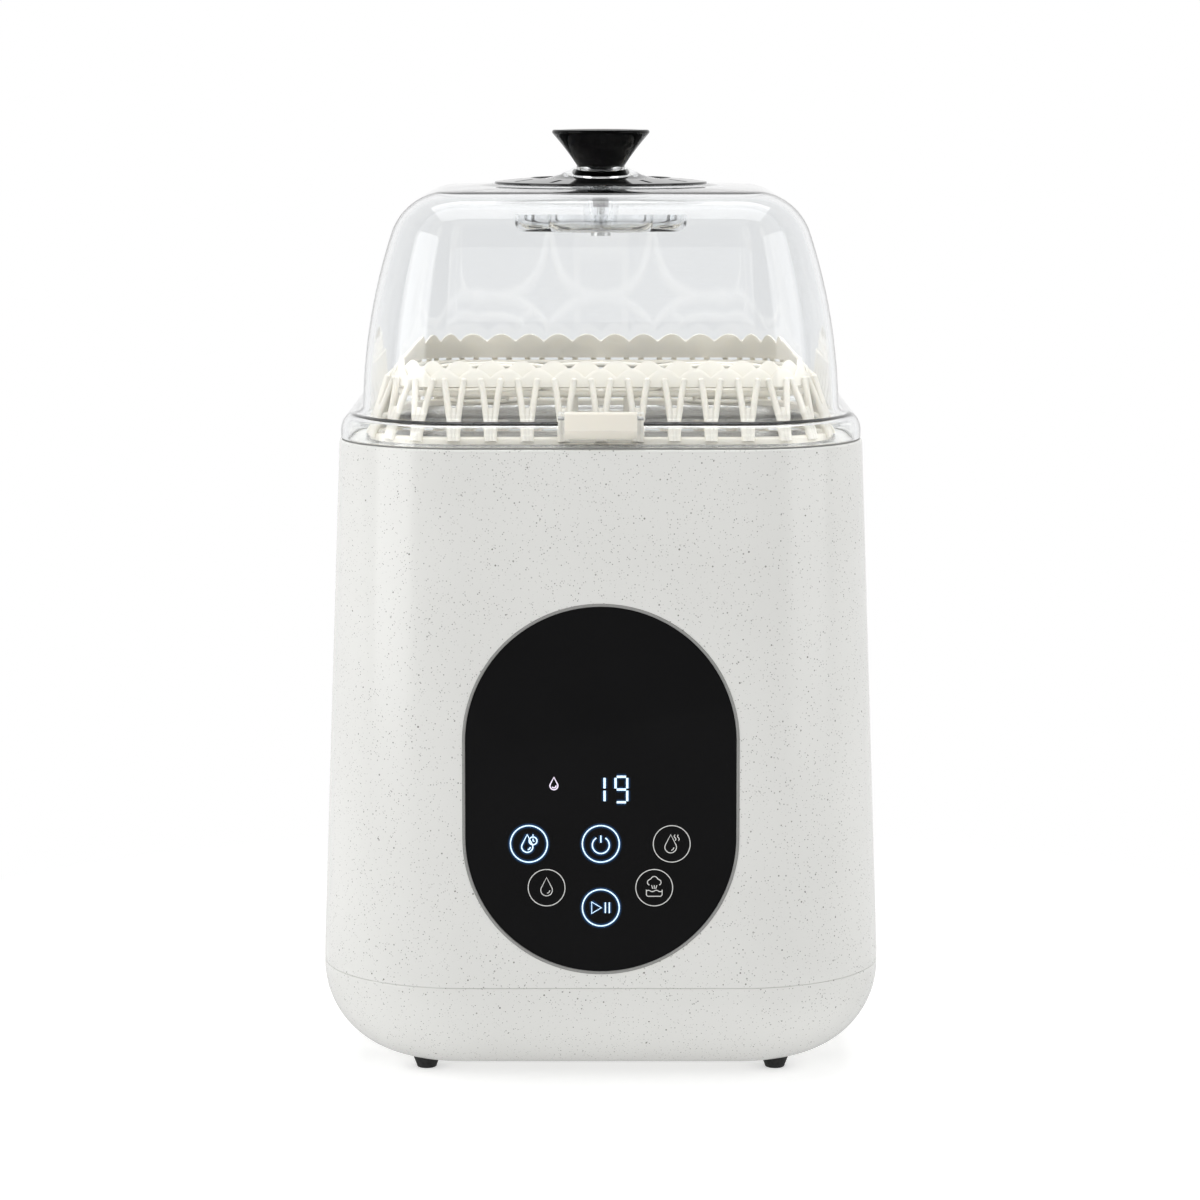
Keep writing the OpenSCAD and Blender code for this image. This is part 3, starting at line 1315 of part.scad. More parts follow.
module fan_impeller() color(grey_plastic) translate([fan_x, fan_y, fan_z]) {
    disc_z = fan_h - fan_wall - fan_run - fan_disc_t;
    translate([0, 0, disc_z]) cylinder(r = fan_wheel_r, h = fan_disc_t);
    translate([0, 0, disc_z - fan_run]) cylinder(r = fan_shaft_r, h = fan_h + fan_motor_h - disc_z);
    for (k = [0:fan_vanes - 1]) rotate(360 * k / fan_vanes)
        translate([fan_wheel_r - fan_vane_w - fan_run, -fan_vane_t / 2, fan_foot])
            cube([fan_vane_w, fan_vane_t, disc_z - fan_foot + fan_disc_t / 2]);
}

module air_duct() color(grey_plastic) difference() {
    union() {
        translate([-duct_half, duct_y0, duct_z0])
            cube([2 * duct_half, duct_y1 - duct_y0, duct_top - duct_z0]);
        translate([-duct_half, tub_back, slot_z0 - mouth_edge])
            cube([2 * duct_half, duct_y0 - tub_back + cut, slot_h + 2 * mouth_edge]);
    }
    translate([duct_wall - duct_half, duct_y0 + duct_wall, duct_z0 + duct_wall])
        cube([2 * (duct_half - duct_wall), duct_y1 - duct_y0 - 2 * duct_wall,
            duct_top - duct_z0 - 2 * duct_wall]);
    translate([duct_wall - duct_half, tub_back - cut, slot_z0 - mouth_edge / 2])
        cube([2 * (duct_half - duct_wall), duct_y0 - tub_back + 2 * duct_wall + cut, slot_h + mouth_edge]);
    translate([duct_half - 2 * duct_wall, duct_y0 + outlet_in + outlet_edge, fan_z + 2 * outlet_edge])
        cube([4 * duct_wall, outlet_d, fan_h - 4 * outlet_edge]);
}

module air_heater() color(steel) difference() {
    translate([duct_wall - duct_half, duct_y0 + duct_wall, air_heater_z])
        cube([2 * (duct_half - duct_wall), duct_y1 - duct_y0 - 2 * duct_wall, air_heater_h]);
    for (k = [-4:4]) translate([fin_pitch * k - fin_gap / 2, duct_y0 + 2 * duct_wall, air_heater_z - cut])
        cube([fin_gap, duct_y1 - duct_y0 - 4 * duct_wall, air_heater_h + 2 * cut]);
}

module air_filter() color(rubber)
    translate([fan_x, fan_y, floor_z + filter_seat]) cylinder(r = air_filter_r, h = air_filter_t);

// Main board with its larger components
module main_board() color(board_green) difference() {
    union() {
        translate([-board_x, board_y0, board_z]) cube([2 * board_x, board_y1 - board_y0, pcb_t]);
        translate([-supply_x, board_y0 + supply_in, board_z + pcb_t / 2])
            cube([supply_w, supply_d, supply_h]);
        for (k = [0:2]) translate([can_pitch * k - can_x, board_y0 + can_in, board_z + pcb_t / 2])
            cylinder(r = can_r, h = can_h);
        translate([-relay_x, board_y0 + relay_in, board_z + pcb_t / 2]) cube([relay_w, relay_d, relay_h]);
    }
    for (p = standoffs) translate([p[0], p[1], board_z - cut])
        cylinder(r = small_screw_r + fit_gap, h = pcb_t + 2 * cut);
}

module board_screws() color(steel)
    for (p = standoffs) translate([p[0], p[1], board_z + pcb_t])
        rotate_extrude() polygon([[0, -pcb_t - small_screw_len], [small_screw_r, -pcb_t - small_screw_len],
            [small_screw_r, 0], [small_head_r, 0], [small_head_r, small_head_h], [0, small_head_h]]);

// Hoses: a hollow tube swept along a curve between two straight ends
function unit(v) = v / norm(v);
function curve(a, b, c, d, t) =
    pow(1 - t, 3) * a + 3 * pow(1 - t, 2) * t * b + 3 * (1 - t) * t * t * c + t * t * t * d;
function route(a, b, c, d, ends) =
    concat([a + ends[0]], [for (i = [0:hose_steps]) curve(a, b, c, d, i / hose_steps)], [d + ends[1]]);

module hose(path, side) {
    last = len(path) - 1;
    bore = (fill_spigot_r + fit_gap) / cos(180 / hose_sides);
    ring = 2 * hose_sides;
    points = [for (i = [0:last])
        let (t = unit(path[min(i + 1, last)] - path[max(i - 1, 0)]), u = unit(cross(t, side)),
            v = cross(t, u))
        each [for (r = [hose_r, bore], k = [0:hose_sides - 1])
            path[i] + r * (cos(360 * k / hose_sides) * u + sin(360 * k / hose_sides) * v)]];
    walls = [for (i = [0:last - 1], k = [0:hose_sides - 1])
        let (a = ring * i, b = ring * (i + 1), m = (k + 1) % hose_sides, n = hose_sides)
        each [[a + k, a + m, b + m], [a + k, b + m, b + k],
            [a + n + m, a + n + k, b + n + k], [a + n + m, b + n + k, b + n + m]]];
    ends = [for (k = [0:hose_sides - 1])
        let (m = (k + 1) % hose_sides, n = hose_sides, e = ring * last)
        each [[k, n + k, n + m], [k, n + m, m], [e + k, e + m, e + n + m], [e + k, e + n + m, e + n + k]]];
    polyhedron(points, concat(walls, ends));
}

module fill_hose() color(rubber) {
    a = [-valve_x, seat_spigot_y - hose_lap, seat_spigot_z];
    d = [-fill_out_x - hose_lap, lid_y, port_z];
    hose(route(a, a - [0, fill_bend, 0], d - [valve_bend, 0, 0], d,
        [[0, hose_push - hose_lap, 0], [hose_push, 0, 0]]), [0, 0, 1]);
}

module drain_hose() color(rubber) {
    a = [drain_out_x, drain_out_y + hose_lap, port_z];
    d = [valve_x, seat_spigot_y - hose_lap, seat_spigot_z];
    hose(route(a, a + [0, drain_bend, 0], d - [0, drain_bend, 0], d,
        [[0, -hose_push, 0], [0, hose_push - hose_lap, 0]]), [1, 0, 0]);
}

module spray_hose() color(rubber) {
    a = [pump_out_x, pump_out_y - hose_lap, pump_out_z];
    d = [stub_x, stub_y, stub_z - hose_lap];
    hose(route(a, a - [0, spray_bend, 0], d - [0, 0, spray_bend], d,
        [[0, hose_push, 0], [0, 0, hose_push]]), [1, 0, 0]);
}

housing();
base_shell();
feet();
base_screws();
cord_gland();
top_deck();
tub_gasket();
control_panel();
panel_bezel();
display_board();
display_module();
touch_pads();
display_screws();
wash_tub();
sump();
sump_filter();
heater_ring();
spray_manifold();
spray_posts();
bottle_rack();
accessory_tray();
tray_floor();
tray_rings();
neck_guides();
lid_dome();
lid_seal();
vent_ring();
lid_knob();
knob_screw();
spray_deflector();
lid_latch();
latch_pin();
tank_bay();
tank_rim();
clean_tank();
clean_tank_lid();
clean_tank_handle();
clean_tank_valve();
waste_tank();
waste_tank_lid();
waste_tank_handle();
waste_tank_valve();
wash_pump_housing();
wash_pump_motor();
wash_pump_impeller();
drain_pump_body();
drain_pump_motor();
drain_pump_impeller();
fill_valve();
fan_housing();
fan_motor();
fan_impeller();
air_duct();
air_heater();
air_filter();
main_board();
board_screws();
fill_hose();
drain_hose();
spray_hose();
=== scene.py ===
# %% [markdown]
# A bottle washer and steam sterilizer for a kitchen worktop, dressed around its solid parts.
# The solids already stand in one shared frame, in metres, with the front towards -Y. Every piece made here
# takes its place from that frame and moves with one of its bodies, so nothing has to be fitted afterwards.

# %% Load the frame
import math

import bmesh
import bpy
from mathutils import Matrix, Vector


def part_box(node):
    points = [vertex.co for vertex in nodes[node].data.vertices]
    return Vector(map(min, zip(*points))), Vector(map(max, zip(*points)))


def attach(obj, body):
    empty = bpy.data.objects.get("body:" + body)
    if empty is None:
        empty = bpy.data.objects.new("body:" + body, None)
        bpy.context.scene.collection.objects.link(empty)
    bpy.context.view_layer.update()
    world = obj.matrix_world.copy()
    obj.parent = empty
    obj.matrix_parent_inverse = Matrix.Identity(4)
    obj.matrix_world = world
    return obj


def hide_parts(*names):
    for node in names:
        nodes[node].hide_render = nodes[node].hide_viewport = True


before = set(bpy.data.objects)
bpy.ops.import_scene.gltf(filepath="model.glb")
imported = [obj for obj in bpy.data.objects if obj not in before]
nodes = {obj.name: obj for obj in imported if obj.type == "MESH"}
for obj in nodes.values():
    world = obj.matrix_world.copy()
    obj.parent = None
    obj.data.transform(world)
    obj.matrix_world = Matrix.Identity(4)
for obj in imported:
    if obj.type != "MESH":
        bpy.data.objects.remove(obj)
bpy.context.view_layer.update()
scene = bpy.context.scene
mm = 0.001


def in_mm(*lengths):
    return [length * mm for length in lengths]


def middle_of(node):
    return [(a + b) / 2 for a, b in zip(*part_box(node))]


def half_width(node):
    low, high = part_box(node)
    return (high.x - low.x) / 2


def placed(name, data):
    made = bpy.data.objects.new(name, data)
    scene.collection.objects.link(made)
    return made


# %% [markdown]
# The camera comes first, because every later choice is judged through it. A long lens far away keeps the
# sides of the body nearly upright, and a small tilt shows a little of the lid's roof. No lens shift and no
# blur are used.

# %% Camera
tilt_down = 7.87
camera_data = bpy.data.cameras.new("front_camera")
camera_data.sensor_width = 36
camera_data.lens = 114
camera = placed("front_camera", camera_data)
camera.location = (-0.0004, -1.9645, 0.4914)
camera.rotation_euler = (math.radians(90 - tilt_down), 0, 0)
scene.camera = camera
scene.view_settings.view_transform = "Standard"
print("camera distance:", round(camera.location.length, 3), "m")

# %% [markdown]
# Node trees are used for the finishes and for the pieces that repeat. One small helper feeds a node: an input
# that is a node or a socket is linked, and any other input is a plain value. The others add the kinds that
# come up most.


# %% Node helpers
def feed(tree, node, inputs):
    for key, value in inputs.items():
        if isinstance(value, bpy.types.Node):
            value = value.outputs[0]
        if isinstance(value, bpy.types.NodeSocket):
            tree.links.new(value, node.inputs[key])
        else:
            node.inputs[key].default_value = value


def add(tree, kind, inputs=None, **settings):
    made = tree.nodes.new(kind)
    for key, value in settings.items():
        setattr(made, key, value)
    feed(tree, made, inputs or {})
    return made


def calc(tree, operation, *values, **settings):
    return add(tree, "ShaderNodeMath", dict(enumerate(values)), operation=operation, **settings)


def ranged(tree, value, from_low=0.0, from_high=1.0, to_low=0.0, to_high=1.0):
    return add(tree, "ShaderNodeMapRange", {
        "Value": value, "From Min": from_low, "From Max": from_high, "To Min": to_low, "To Max": to_high})


def xyz(tree, x=0.0, y=0.0, z=0.0):
    return add(tree, "ShaderNodeCombineXYZ", {"X": x, "Y": y, "Z": z})


def object_place(tree):
    return add(tree, "ShaderNodeTexCoord").outputs["Object"]


def bare_tree(holder):
    holder.use_nodes = True
    holder.node_tree.nodes.clear()
    return holder.node_tree


print("node helpers ready")

# %% [markdown]
# The studio is a white sweep. Camera rays and rays through the clear lid see it as white, and the soft light
# that it sheds on the object is held lower. Mirror rays see a room that darkens behind the camera, so the
# glossy panel stays black. The floor keeps a faint shadow under the feet and fades to white further out.

# %% Background and floor
shed_light, dark_room = 0.3, 0.1
scene.world = bpy.data.worlds.new("white_sweep")
sky = bare_tree(scene.world)
rays = add(sky, "ShaderNodeLightPath").outputs
way = add(sky, "ShaderNodeTexCoord").outputs["Generated"]
split = add(sky, "ShaderNodeSeparateXYZ", {"Vector": way})
room = ranged(sky, split.outputs["Y"], -0.25, 0.3, dark_room, 1.0)
level = add(sky, "ShaderNodeMix", {"Factor": rays["Is Glossy Ray"], "A": shed_light, "B": room})
seen = calc(sky, "MAXIMUM", rays["Is Camera Ray"], rays["Is Transmission Ray"])
strength = add(sky, "ShaderNodeMix", {"Factor": seen, "A": level, "B": 1.0})
glow = add(sky, "ShaderNodeBackground", {"Color": (1, 1, 1, 1), "Strength": strength})
add(sky, "ShaderNodeOutputWorld", {"Surface": glow})

reach, floor_grey, fade_start, fade_end = 4.0, 0.8, 0.2, 0.5
floor_mesh = bpy.data.meshes.new("studio_floor")
floor_mesh.from_pydata([(-reach, -reach, 0), (reach, -reach, 0), (reach, reach, 0), (-reach, reach, 0)], [],
                       [(0, 1, 2, 3)])
floor = placed("studio_floor", floor_mesh)
floor_paint = bpy.data.materials.new("studio_floor")
paint = bare_tree(floor_paint)
rays = add(paint, "ShaderNodeLightPath").outputs
ground = object_place(paint)
from_middle = add(paint, "ShaderNodeVectorMath", {0: ground}, operation="LENGTH")
far = ranged(paint, from_middle.outputs["Value"], fade_start, fade_end)
straight_on = calc(paint, "MAXIMUM", rays["Is Camera Ray"], rays["Is Transmission Ray"])
matt = add(paint, "ShaderNodeBsdfDiffuse", {"Color": (floor_grey, floor_grey, floor_grey, 1)})
lift = ranged(paint, straight_on, to_low=0.28, to_high=0.5)
lighten = add(paint, "ShaderNodeEmission", {"Strength": lift})
near_by = add(paint, "ShaderNodeAddShader", {0: matt, 1: lighten})
far_off = add(paint, "ShaderNodeEmission", {"Strength": 1.0})
fade = calc(paint, "MULTIPLY", straight_on, far)
swept_white = add(paint, "ShaderNodeMixShader", {0: fade, 1: near_by, 2: far_off})
depth = add(paint, "ShaderNodeSeparateXYZ", {"Vector": ground})
rear = ranged(paint, depth.outputs["Y"], -0.3, 0.1, 0.12, 0.9)
mirror_floor = add(paint, "ShaderNodeEmission", {"Strength": rear})
in_mirror = calc(paint, "SUBTRACT", rays["Is Glossy Ray"], rays["Is Transmission Ray"], use_clamp=True)
surface = add(paint, "ShaderNodeMixShader", {0: in_mirror, 1: swept_white, 2: mirror_floor})
add(paint, "ShaderNodeOutputMaterial", {"Surface": surface})
floor_mesh.materials.append(floor_paint)
print("studio floor:", 2 * reach, "m wide")

# %% [markdown]
# Two tall soft lamps at the sides draw the bright bands along the body's rounded corners and the lid's edges.
# A wide lamp above lights the roof and the knob, and a weak one in front fills the face. Only the two at the
# sides show as reflections.


# %% Lamps
def soft_lamp(name, place, aim, wide, tall, watts, mirrored=True):
    data = bpy.data.lights.new(name, "AREA")
    data.shape = "RECTANGLE"
    data.size = wide
    data.size_y = tall
    data.energy = watts
    lamp = placed(name, data)
    lamp.location = place
    lamp.rotation_euler = (Vector(aim) - Vector(place)).to_track_quat("-Z", "Y").to_euler()
    lamp.visible_glossy = mirrored


soft_lamp("left_softbox", (-1.5, -0.75, 0.55), (0, 0, 0.25), 1.1, 1.6, 12.2)
soft_lamp("right_softbox", (1.5, -0.75, 0.55), (0, 0, 0.25), 1.1, 1.6, 7.8)
soft_lamp("top_softbox", (0, 0.1, 1.7), (0, 0, 0.3), 1.6, 1.2, 18, False)
soft_lamp("front_fill", (0, -2.6, 1.5), (0, 0, 0.2), 2.2, 0.8, 7.2, False)

# %% [markdown]
# Finishes. Moulded plastic is never one flat colour: it has a fine grain that breaks up the gloss and a faint
# drift in tone. Each finish below is a node tree on object coordinates, so the grain keeps its real size on
# every piece.

# %% Moulded plastic, rubber and other plain finishes
finishes = {}


def new_finish(name):
    made = bpy.data.materials.new(name)
    made.use_nodes = True
    finishes[name] = made
    return made.node_tree, made.node_tree.nodes["Principled BSDF"]


def grain(tree, scale, detail=2.0, stretch=(1, 1, 1)):
    sized = add(tree, "ShaderNodeMapping", {"Vector": object_place(tree), "Scale": stretch})
    return add(tree, "ShaderNodeTexNoise", {"Vector": sized, "Scale": scale, "Detail": detail})


def between(tree, noise, low, high):
    return ranged(tree, noise, 0.3, 0.7, low, high)


def tinted(tree, noise, first, second):
    ramp = add(tree, "ShaderNodeValToRGB", {"Fac": noise})
    for stop, place, colour in zip(ramp.color_ramp.elements, (0.3, 0.7), (first, second)):
        stop.position = place
        stop.color = (*colour, 1)
    return ramp


def moulded(name, colour, rough, drift=0.04, grain_scale=900, bump=0.05, metal=0.0, stretch=(1, 1, 1),
            milky=0.0):
    tree, shader = new_finish(name)
    darker = [c * (1 - drift) for c in colour]
    lighter = [min(1, c * (1 + drift)) for c in colour]
    fine = grain(tree, grain_scale, 3, stretch)
    relief = add(tree, "ShaderNodeBump", {"Height": fine, "Strength": bump, "Distance": 0.2 * mm})
    feed(tree, shader, {
        "Base Color": tinted(tree, grain(tree, 14), darker, lighter), "Normal": relief, "Metallic": metal,
        "Roughness": between(tree, fine, rough * 0.8, rough * 1.2), "Subsurface Weight": milky,
        "Subsurface Radius": (1.0, 0.9, 0.75), "Subsurface Scale": 3 * mm})
    return tree, shader


moulded("cream_plastic", (0.88, 0.842, 0.752), 0.38, milky=0.2)
moulded("grey_plastic", (0.42, 0.43, 0.44), 0.42)
moulded("dark_plastic", (0.035, 0.036, 0.04), 0.4)
moulded("bezel_grey", (0.3, 0.3, 0.29), 0.3)
moulded("foot_rubber", (0.018, 0.018, 0.018), 0.7, bump=0.3)
moulded("seal_rubber", (0.26, 0.26, 0.25), 0.5)
moulded("hose_rubber", (0.3, 0.3, 0.29), 0.55)
moulded("screw_steel", (0.55, 0.55, 0.54), 0.3, metal=1.0)
moulded("tub_steel", (0.64, 0.635, 0.62), 0.26, drift=0.08, grain_scale=260, metal=1.0, stretch=(1, 1, 14))
moulded("filter_foam", (0.05, 0.05, 0.05), 0.9, grain_scale=700, bump=0.9)
print("plain finishes:", len(finishes))

# %% [markdown]
# The shell is off-white plastic with small dark specks moulded in. A speck is drawn where the surface passes
# close to a scattered point: the cells of a Voronoi pattern give the points, and each cell's random colour
# decides how large and how dark its speck is, or whether it has one at all. Two layers of cells give large
# and fine specks, and the cells lie askew, so that no flat wall runs along them and shows them as stripes.


# %% Speckled shell
def specks(tree, scale, largest, share):
    askew = add(tree, "ShaderNodeMapping", {"Vector": object_place(tree), "Rotation": (0.5, 0.8, 0.3)})
    cells = add(tree, "ShaderNodeTexVoronoi", {"Vector": askew, "Scale": scale}).outputs
    lot = add(tree, "ShaderNodeSeparateColor", {"Color": cells["Color"]}).outputs
    size = ranged(tree, lot[0], from_low=1 - share, to_high=largest * scale)
    gap = calc(tree, "SUBTRACT", size, cells["Distance"])
    edge = ranged(tree, gap, from_high=0.1 * largest * scale)
    return calc(tree, "MULTIPLY", edge, ranged(tree, lot[1], to_low=0.35))


def speckled(name, colour, speck_colour):
    tree, shader = moulded(name, colour, 0.2, drift=0.015)
    plain = shader.inputs["Base Color"].links[0].from_socket
    most = calc(tree, "MAXIMUM", specks(tree, 420, 0.5 * mm, 0.5), specks(tree, 950, 0.3 * mm, 0.85))
    layers = {"Factor": most, "A": plain, "B": (*speck_colour, 1)}
    mixed = add(tree, "ShaderNodeMix", layers, data_type="RGBA")
    feed(tree, shader, {"Base Color": mixed.outputs["Result"]})


speckled("speckled_shell", (0.79, 0.79, 0.765), (0.16, 0.155, 0.14))
print("speckled shell ready")

# %% [markdown]
# The clear lid and the tanks are real thicknesses of plastic, so light bends through them. Shadow rays pass
# straight on, slightly tinted, so the lamps also light what lies inside. The gloss black finish of the panel,
# knob and vent ring has a faint haze of fine marks in its shine. The knob shines less, because its side leans
# out over the bright roof.


# %% Clear and glossy finishes
def clear_plastic(name, colour, rough=0.015):
    tree, shader = new_finish(name)
    wave = add(tree, "ShaderNodeBump", {"Height": grain(tree, 12), "Strength": 0.02, "Distance": mm})
    feed(tree, shader, {"Base Color": (*colour, 1), "Transmission Weight": 1.0, "IOR": 1.49, "Normal": wave,
                        "Roughness": between(tree, grain(tree, 60), rough * 0.5, rough * 1.5)})
    shadow = add(tree, "ShaderNodeLightPath").outputs["Is Shadow Ray"]
    passing = add(tree, "ShaderNodeBsdfTransparent", {"Color": (*[c ** 0.25 for c in colour], 1)})
    lit = add(tree, "ShaderNodeMixShader", {0: shadow, 1: shader, 2: passing})
    feed(tree, tree.nodes["Material Output"], {"Surface": lit})


def gloss(name, colour, rough, shine=0.5):
    tree, shader = new_finish(name)
    lighter = [c * 1.15 for c in colour]
    tone = tinted(tree, grain(tree, 25), colour, lighter)
    haze = between(tree, grain(tree, 300, 4), rough * 0.6, rough * 1.4)
    feed(tree, shader, {"Specular IOR Level": shine, "Base Color": tone, "Roughness": haze})
    return tree, shader


lens_black = (0.0045, 0.0045, 0.0048)
clear_plastic("clear_lid", (0.905, 0.914, 0.921))
clear_plastic("clear_tank", (0.93, 0.97, 0.98), 0.05)
clear_plastic("smoke_tank", (0.42, 0.43, 0.45), 0.05)
gloss("gloss_black", lens_black, 0.06)
gloss("knob_black", (0.0025, 0.0025, 0.0027), 0.06, shine=0.1)
gloss("circuit_board", (0.02, 0.13, 0.06), 0.35)
print("all finishes:", len(finishes))

# %% [markdown]
# Shapes. Most of this object is a profile carried round a rounded rectangle: the body, the base, the lid and
# the tub's rim. A ring of points is made for each point of the profile and neighbouring rings are joined with
# faces, which gives even, smooth walls that reflect cleanly.


# %% Rings and lofts
def arc(cx, cz, r, start, end, steps, rise=None):
    turn = [math.radians(start + (end - start) * i / steps) for i in range(steps + 1)]
    return [(cx + r * math.cos(a), cz + (rise or r) * math.sin(a)) for a in turn]


def rounded_ring(half_x, half_y, corner, z, middle_y=0.0, turn_steps=24, side_steps=10):
    turns = [arc(sx * (half_x - corner), sy * (half_y - corner), corner, 90 * q, 90 * q + 90, turn_steps)
             for q, (sx, sy) in enumerate(((1, 1), (-1, 1), (-1, -1), (1, -1)))]
    points = []
    for q, turn in enumerate(turns):
        (ex, ey), (nx, ny) = turn[-1], turns[(q + 1) % 4][0]
        steps = [i / side_steps for i in range(1, side_steps)]
        points += turn + [(ex + (nx - ex) * t, ey + (ny - ey) * t) for t in steps]
    return [Vector((x, y + middle_y, z)) for x, y in points]


def circle(radius, z, steps, middle=(0, 0)):
    turn = [2 * math.pi * j / steps for j in range(steps)]
    return [Vector((middle[0] + radius * math.cos(a), middle[1] + radius * math.sin(a), z)) for a in turn]


def circle_like(ring, radius, z, middle_y):
    turn = [math.atan2(p.y - middle_y, p.x) for p in ring]
    return [Vector((radius * math.cos(a), middle_y + radius * math.sin(a), z)) for a in turn]


def merged(mesh, flatten=False):
    shape = bmesh.new()
    shape.from_mesh(mesh)
    bmesh.ops.remove_doubles(shape, verts=shape.verts, dist=1e-6)
    if flatten:
        bmesh.ops.dissolve_limit(shape, angle_limit=math.radians(0.5), verts=shape.verts, edges=shape.edges)
    else:
        bmesh.ops.recalc_face_normals(shape, faces=shape.faces)
    shape.to_mesh(mesh)
    shape.free()
    return mesh


def mesh_piece(name, points, faces):
    mesh = bpy.data.meshes.new(name)
    mesh.from_pydata([tuple(p) for p in points], [], faces)
    return placed(name, merged(mesh))


def loft(name, rings, capped=False):
    count, total = len(rings[0]), len(rings)
    faces = []
    for i in range(total - 1 if capped else total):
        a, b = i * count, (i + 1) % total * count
        faces += [(a + j, a + (j + 1) % count, b + (j + 1) % count, b + j) for j in range(count)]
    if capped:
        faces += [tuple(range(count)), tuple(range((total - 1) * count, total * count))]
    return mesh_piece(name, [p for ring in rings for p in ring], faces)


def carried(profile, half_x, half_y, corner, middle_y=0.0, **detail):
    return [rounded_ring(half_x + d, half_y + d, max(corner + d, 0), z, middle_y, **detail)
            for d, z in profile]


def turned(name, profile, steps, middle=(0, 0)):
    return loft(name, [circle(r, z, steps, middle) for r, z in profile])


def block(name, low, high):
    corners = [(x, y, z) for z in (low[2], high[2]) for y in (low[1], high[1]) for x in (low[0], high[0])]
    sides = [(0, 1, 3, 2), (4, 5, 7, 6), (0, 1, 5, 4), (2, 3, 7, 6), (0, 2, 6, 4), (1, 3, 7, 5)]
    return mesh_piece(name, corners, sides)


def rod(name, start, end, radius, steps=48):
    start, end = Vector(start), Vector(end)
    turn = (end - start).to_track_quat("Z", "Y")
    return loft(name, [[p + turn @ v for v in circle(radius, 0, steps)] for p in (start, end)], capped=True)


beyond = 10 * mm
print("cuts reach", beyond, "m past a face")

# %% [markdown]
# A finished piece gets its finish, smooth shading, the body that it rides on and the solids that it
# stands for. Modifiers are applied at once, so that the mesh holds what was modelled.


# %% How a piece is cut, softened and placed
def settle(piece):
    ready = piece.evaluated_get(bpy.context.evaluated_depsgraph_get())
    mesh = bpy.data.meshes.new_from_object(ready)
    piece.modifiers.clear()
    piece.data = mesh
    return piece


def combine(piece, tools, operation="DIFFERENCE"):
    for tool in tools:
        step = piece.modifiers.new("cut", "BOOLEAN")
        step.operation = operation
        step.solver = "EXACT"
        step.object = tool
    settle(piece)
    for tool in tools:
        bpy.data.objects.remove(tool)


def soften(piece, width, segments, angle=30):
    step = piece.modifiers.new("soft_edges", "BEVEL")
    step.width = width
    step.segments = segments
    step.limit_method = "ANGLE"
    step.angle_limit = math.radians(angle)
    settle(piece)


def dress(piece, finish, body, *stands_for, slot=None, angle=35):
    piece.data.materials.clear()
    piece.data.materials.append(finishes[finish])
    piece.data.shade_smooth()
    piece.data.set_sharp_from_angle(angle=math.radians(angle))
    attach(piece, body)
    if stands_for:
        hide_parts(*stands_for)
    print(piece.name, "faces:", len(piece.data.polygons))


print("ways to finish a piece ready")

# %% [markdown]
# The housing is the tall speckled shell. Its walls lean in a little towards the top, where a small round edge
# meets the deck. It is lofted as one closed ring of wall, with the shallow recess for the control panel cut
# into the front.

# %% Housing
low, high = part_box("housing")
half_w, half_d = high.x, high.y
body_top, seam_z = high.z, low.z
body_corner, wall, taper, chamfer, edge_r, deck_step = in_mm(72, 2.6, 9.6, 0.5, 1.2, 3)
wide_z = seam_z + 5 * mm
tilt = math.atan(taper / (body_top - wide_z))
body_plan = dict(half_x=half_w, half_y=half_d, corner=body_corner, turn_steps=32)

profile = [(-wall, seam_z), (-chamfer, seam_z), (-chamfer * 0.3, seam_z + chamfer * 0.3),
           (0, seam_z + chamfer), (0, wide_z)]
profile += [(-taper * k / 8, wide_z + (body_top - edge_r - wide_z) * k / 8) for k in range(1, 8)]
profile += arc(-taper - edge_r, body_top - edge_r, edge_r, 0, 90, 6)
profile += [(-taper - wall, body_top), (-taper - wall, body_top - deck_step), (-wall, wide_z)]
housing = loft("housing_shell", carried(profile, **body_plan))

panel_low, panel_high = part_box("panel_bezel")
panel_z = middle_of("panel_bezel")[2]
panel_r = half_width("panel_bezel")
panel_straight = (panel_high.z - panel_low.z) / 2 / math.cos(tilt) - panel_r
wall_y = -half_d + taper * (panel_z - wide_z) / (body_top - wide_z)
panel_frame = Matrix.Translation((0, wall_y, panel_z)) @ Matrix.Rotation(math.radians(90) - tilt, 4, "X")
recess, pocket_room, pocket_top = in_mm(2.4, 0.1, 5)


def stadium_ring(radius, z, steps=64):
    upper = [(x, y + panel_straight) for x, y in arc(0, 0, radius, 0, 180, steps)]
    lower = [(x, y - panel_straight) for x, y in arc(0, 0, radius, 180, 360, steps)]
    return [panel_frame @ Vector((x, y, z)) for x, y in upper + lower]


pocket = [stadium_ring(panel_r + pocket_room, z) for z in (-recess, pocket_top)]
combine(housing, [loft("panel_pocket", pocket, capped=True)])
dress(housing, "speckled_shell", "body", "housing", angle=25)

# %% [markdown]
# The base shell closes the body below a hairline seam and rolls under in one large radius. Its floor has the
# vent slots of the drying fan, four deep holes for the screws and the opening for the cord's gland at the
# back.

# %% Base shell
foot_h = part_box("base_shell")[0].z
base_r, lip = in_mm(45, 1.6)
roll_z = foot_h + base_r
profile = arc(-base_r, roll_z, base_r, -90, 0, 28)[1:]
profile += [(0, seam_z - chamfer), (-chamfer * 0.3, seam_z - chamfer * 0.3), (-chamfer, seam_z),
            (-wall, seam_z), (-wall - lip, seam_z), (-wall - lip, seam_z - 2 * lip)]
profile += arc(-base_r, roll_z, base_r - wall, -8, -90, 24)[:-1]
profile = [(-base_r, foot_h)] + profile + [(-base_r, foot_h + wall)]
base = loft("base_shell_moulded", carried(profile, **body_plan), capped=True)

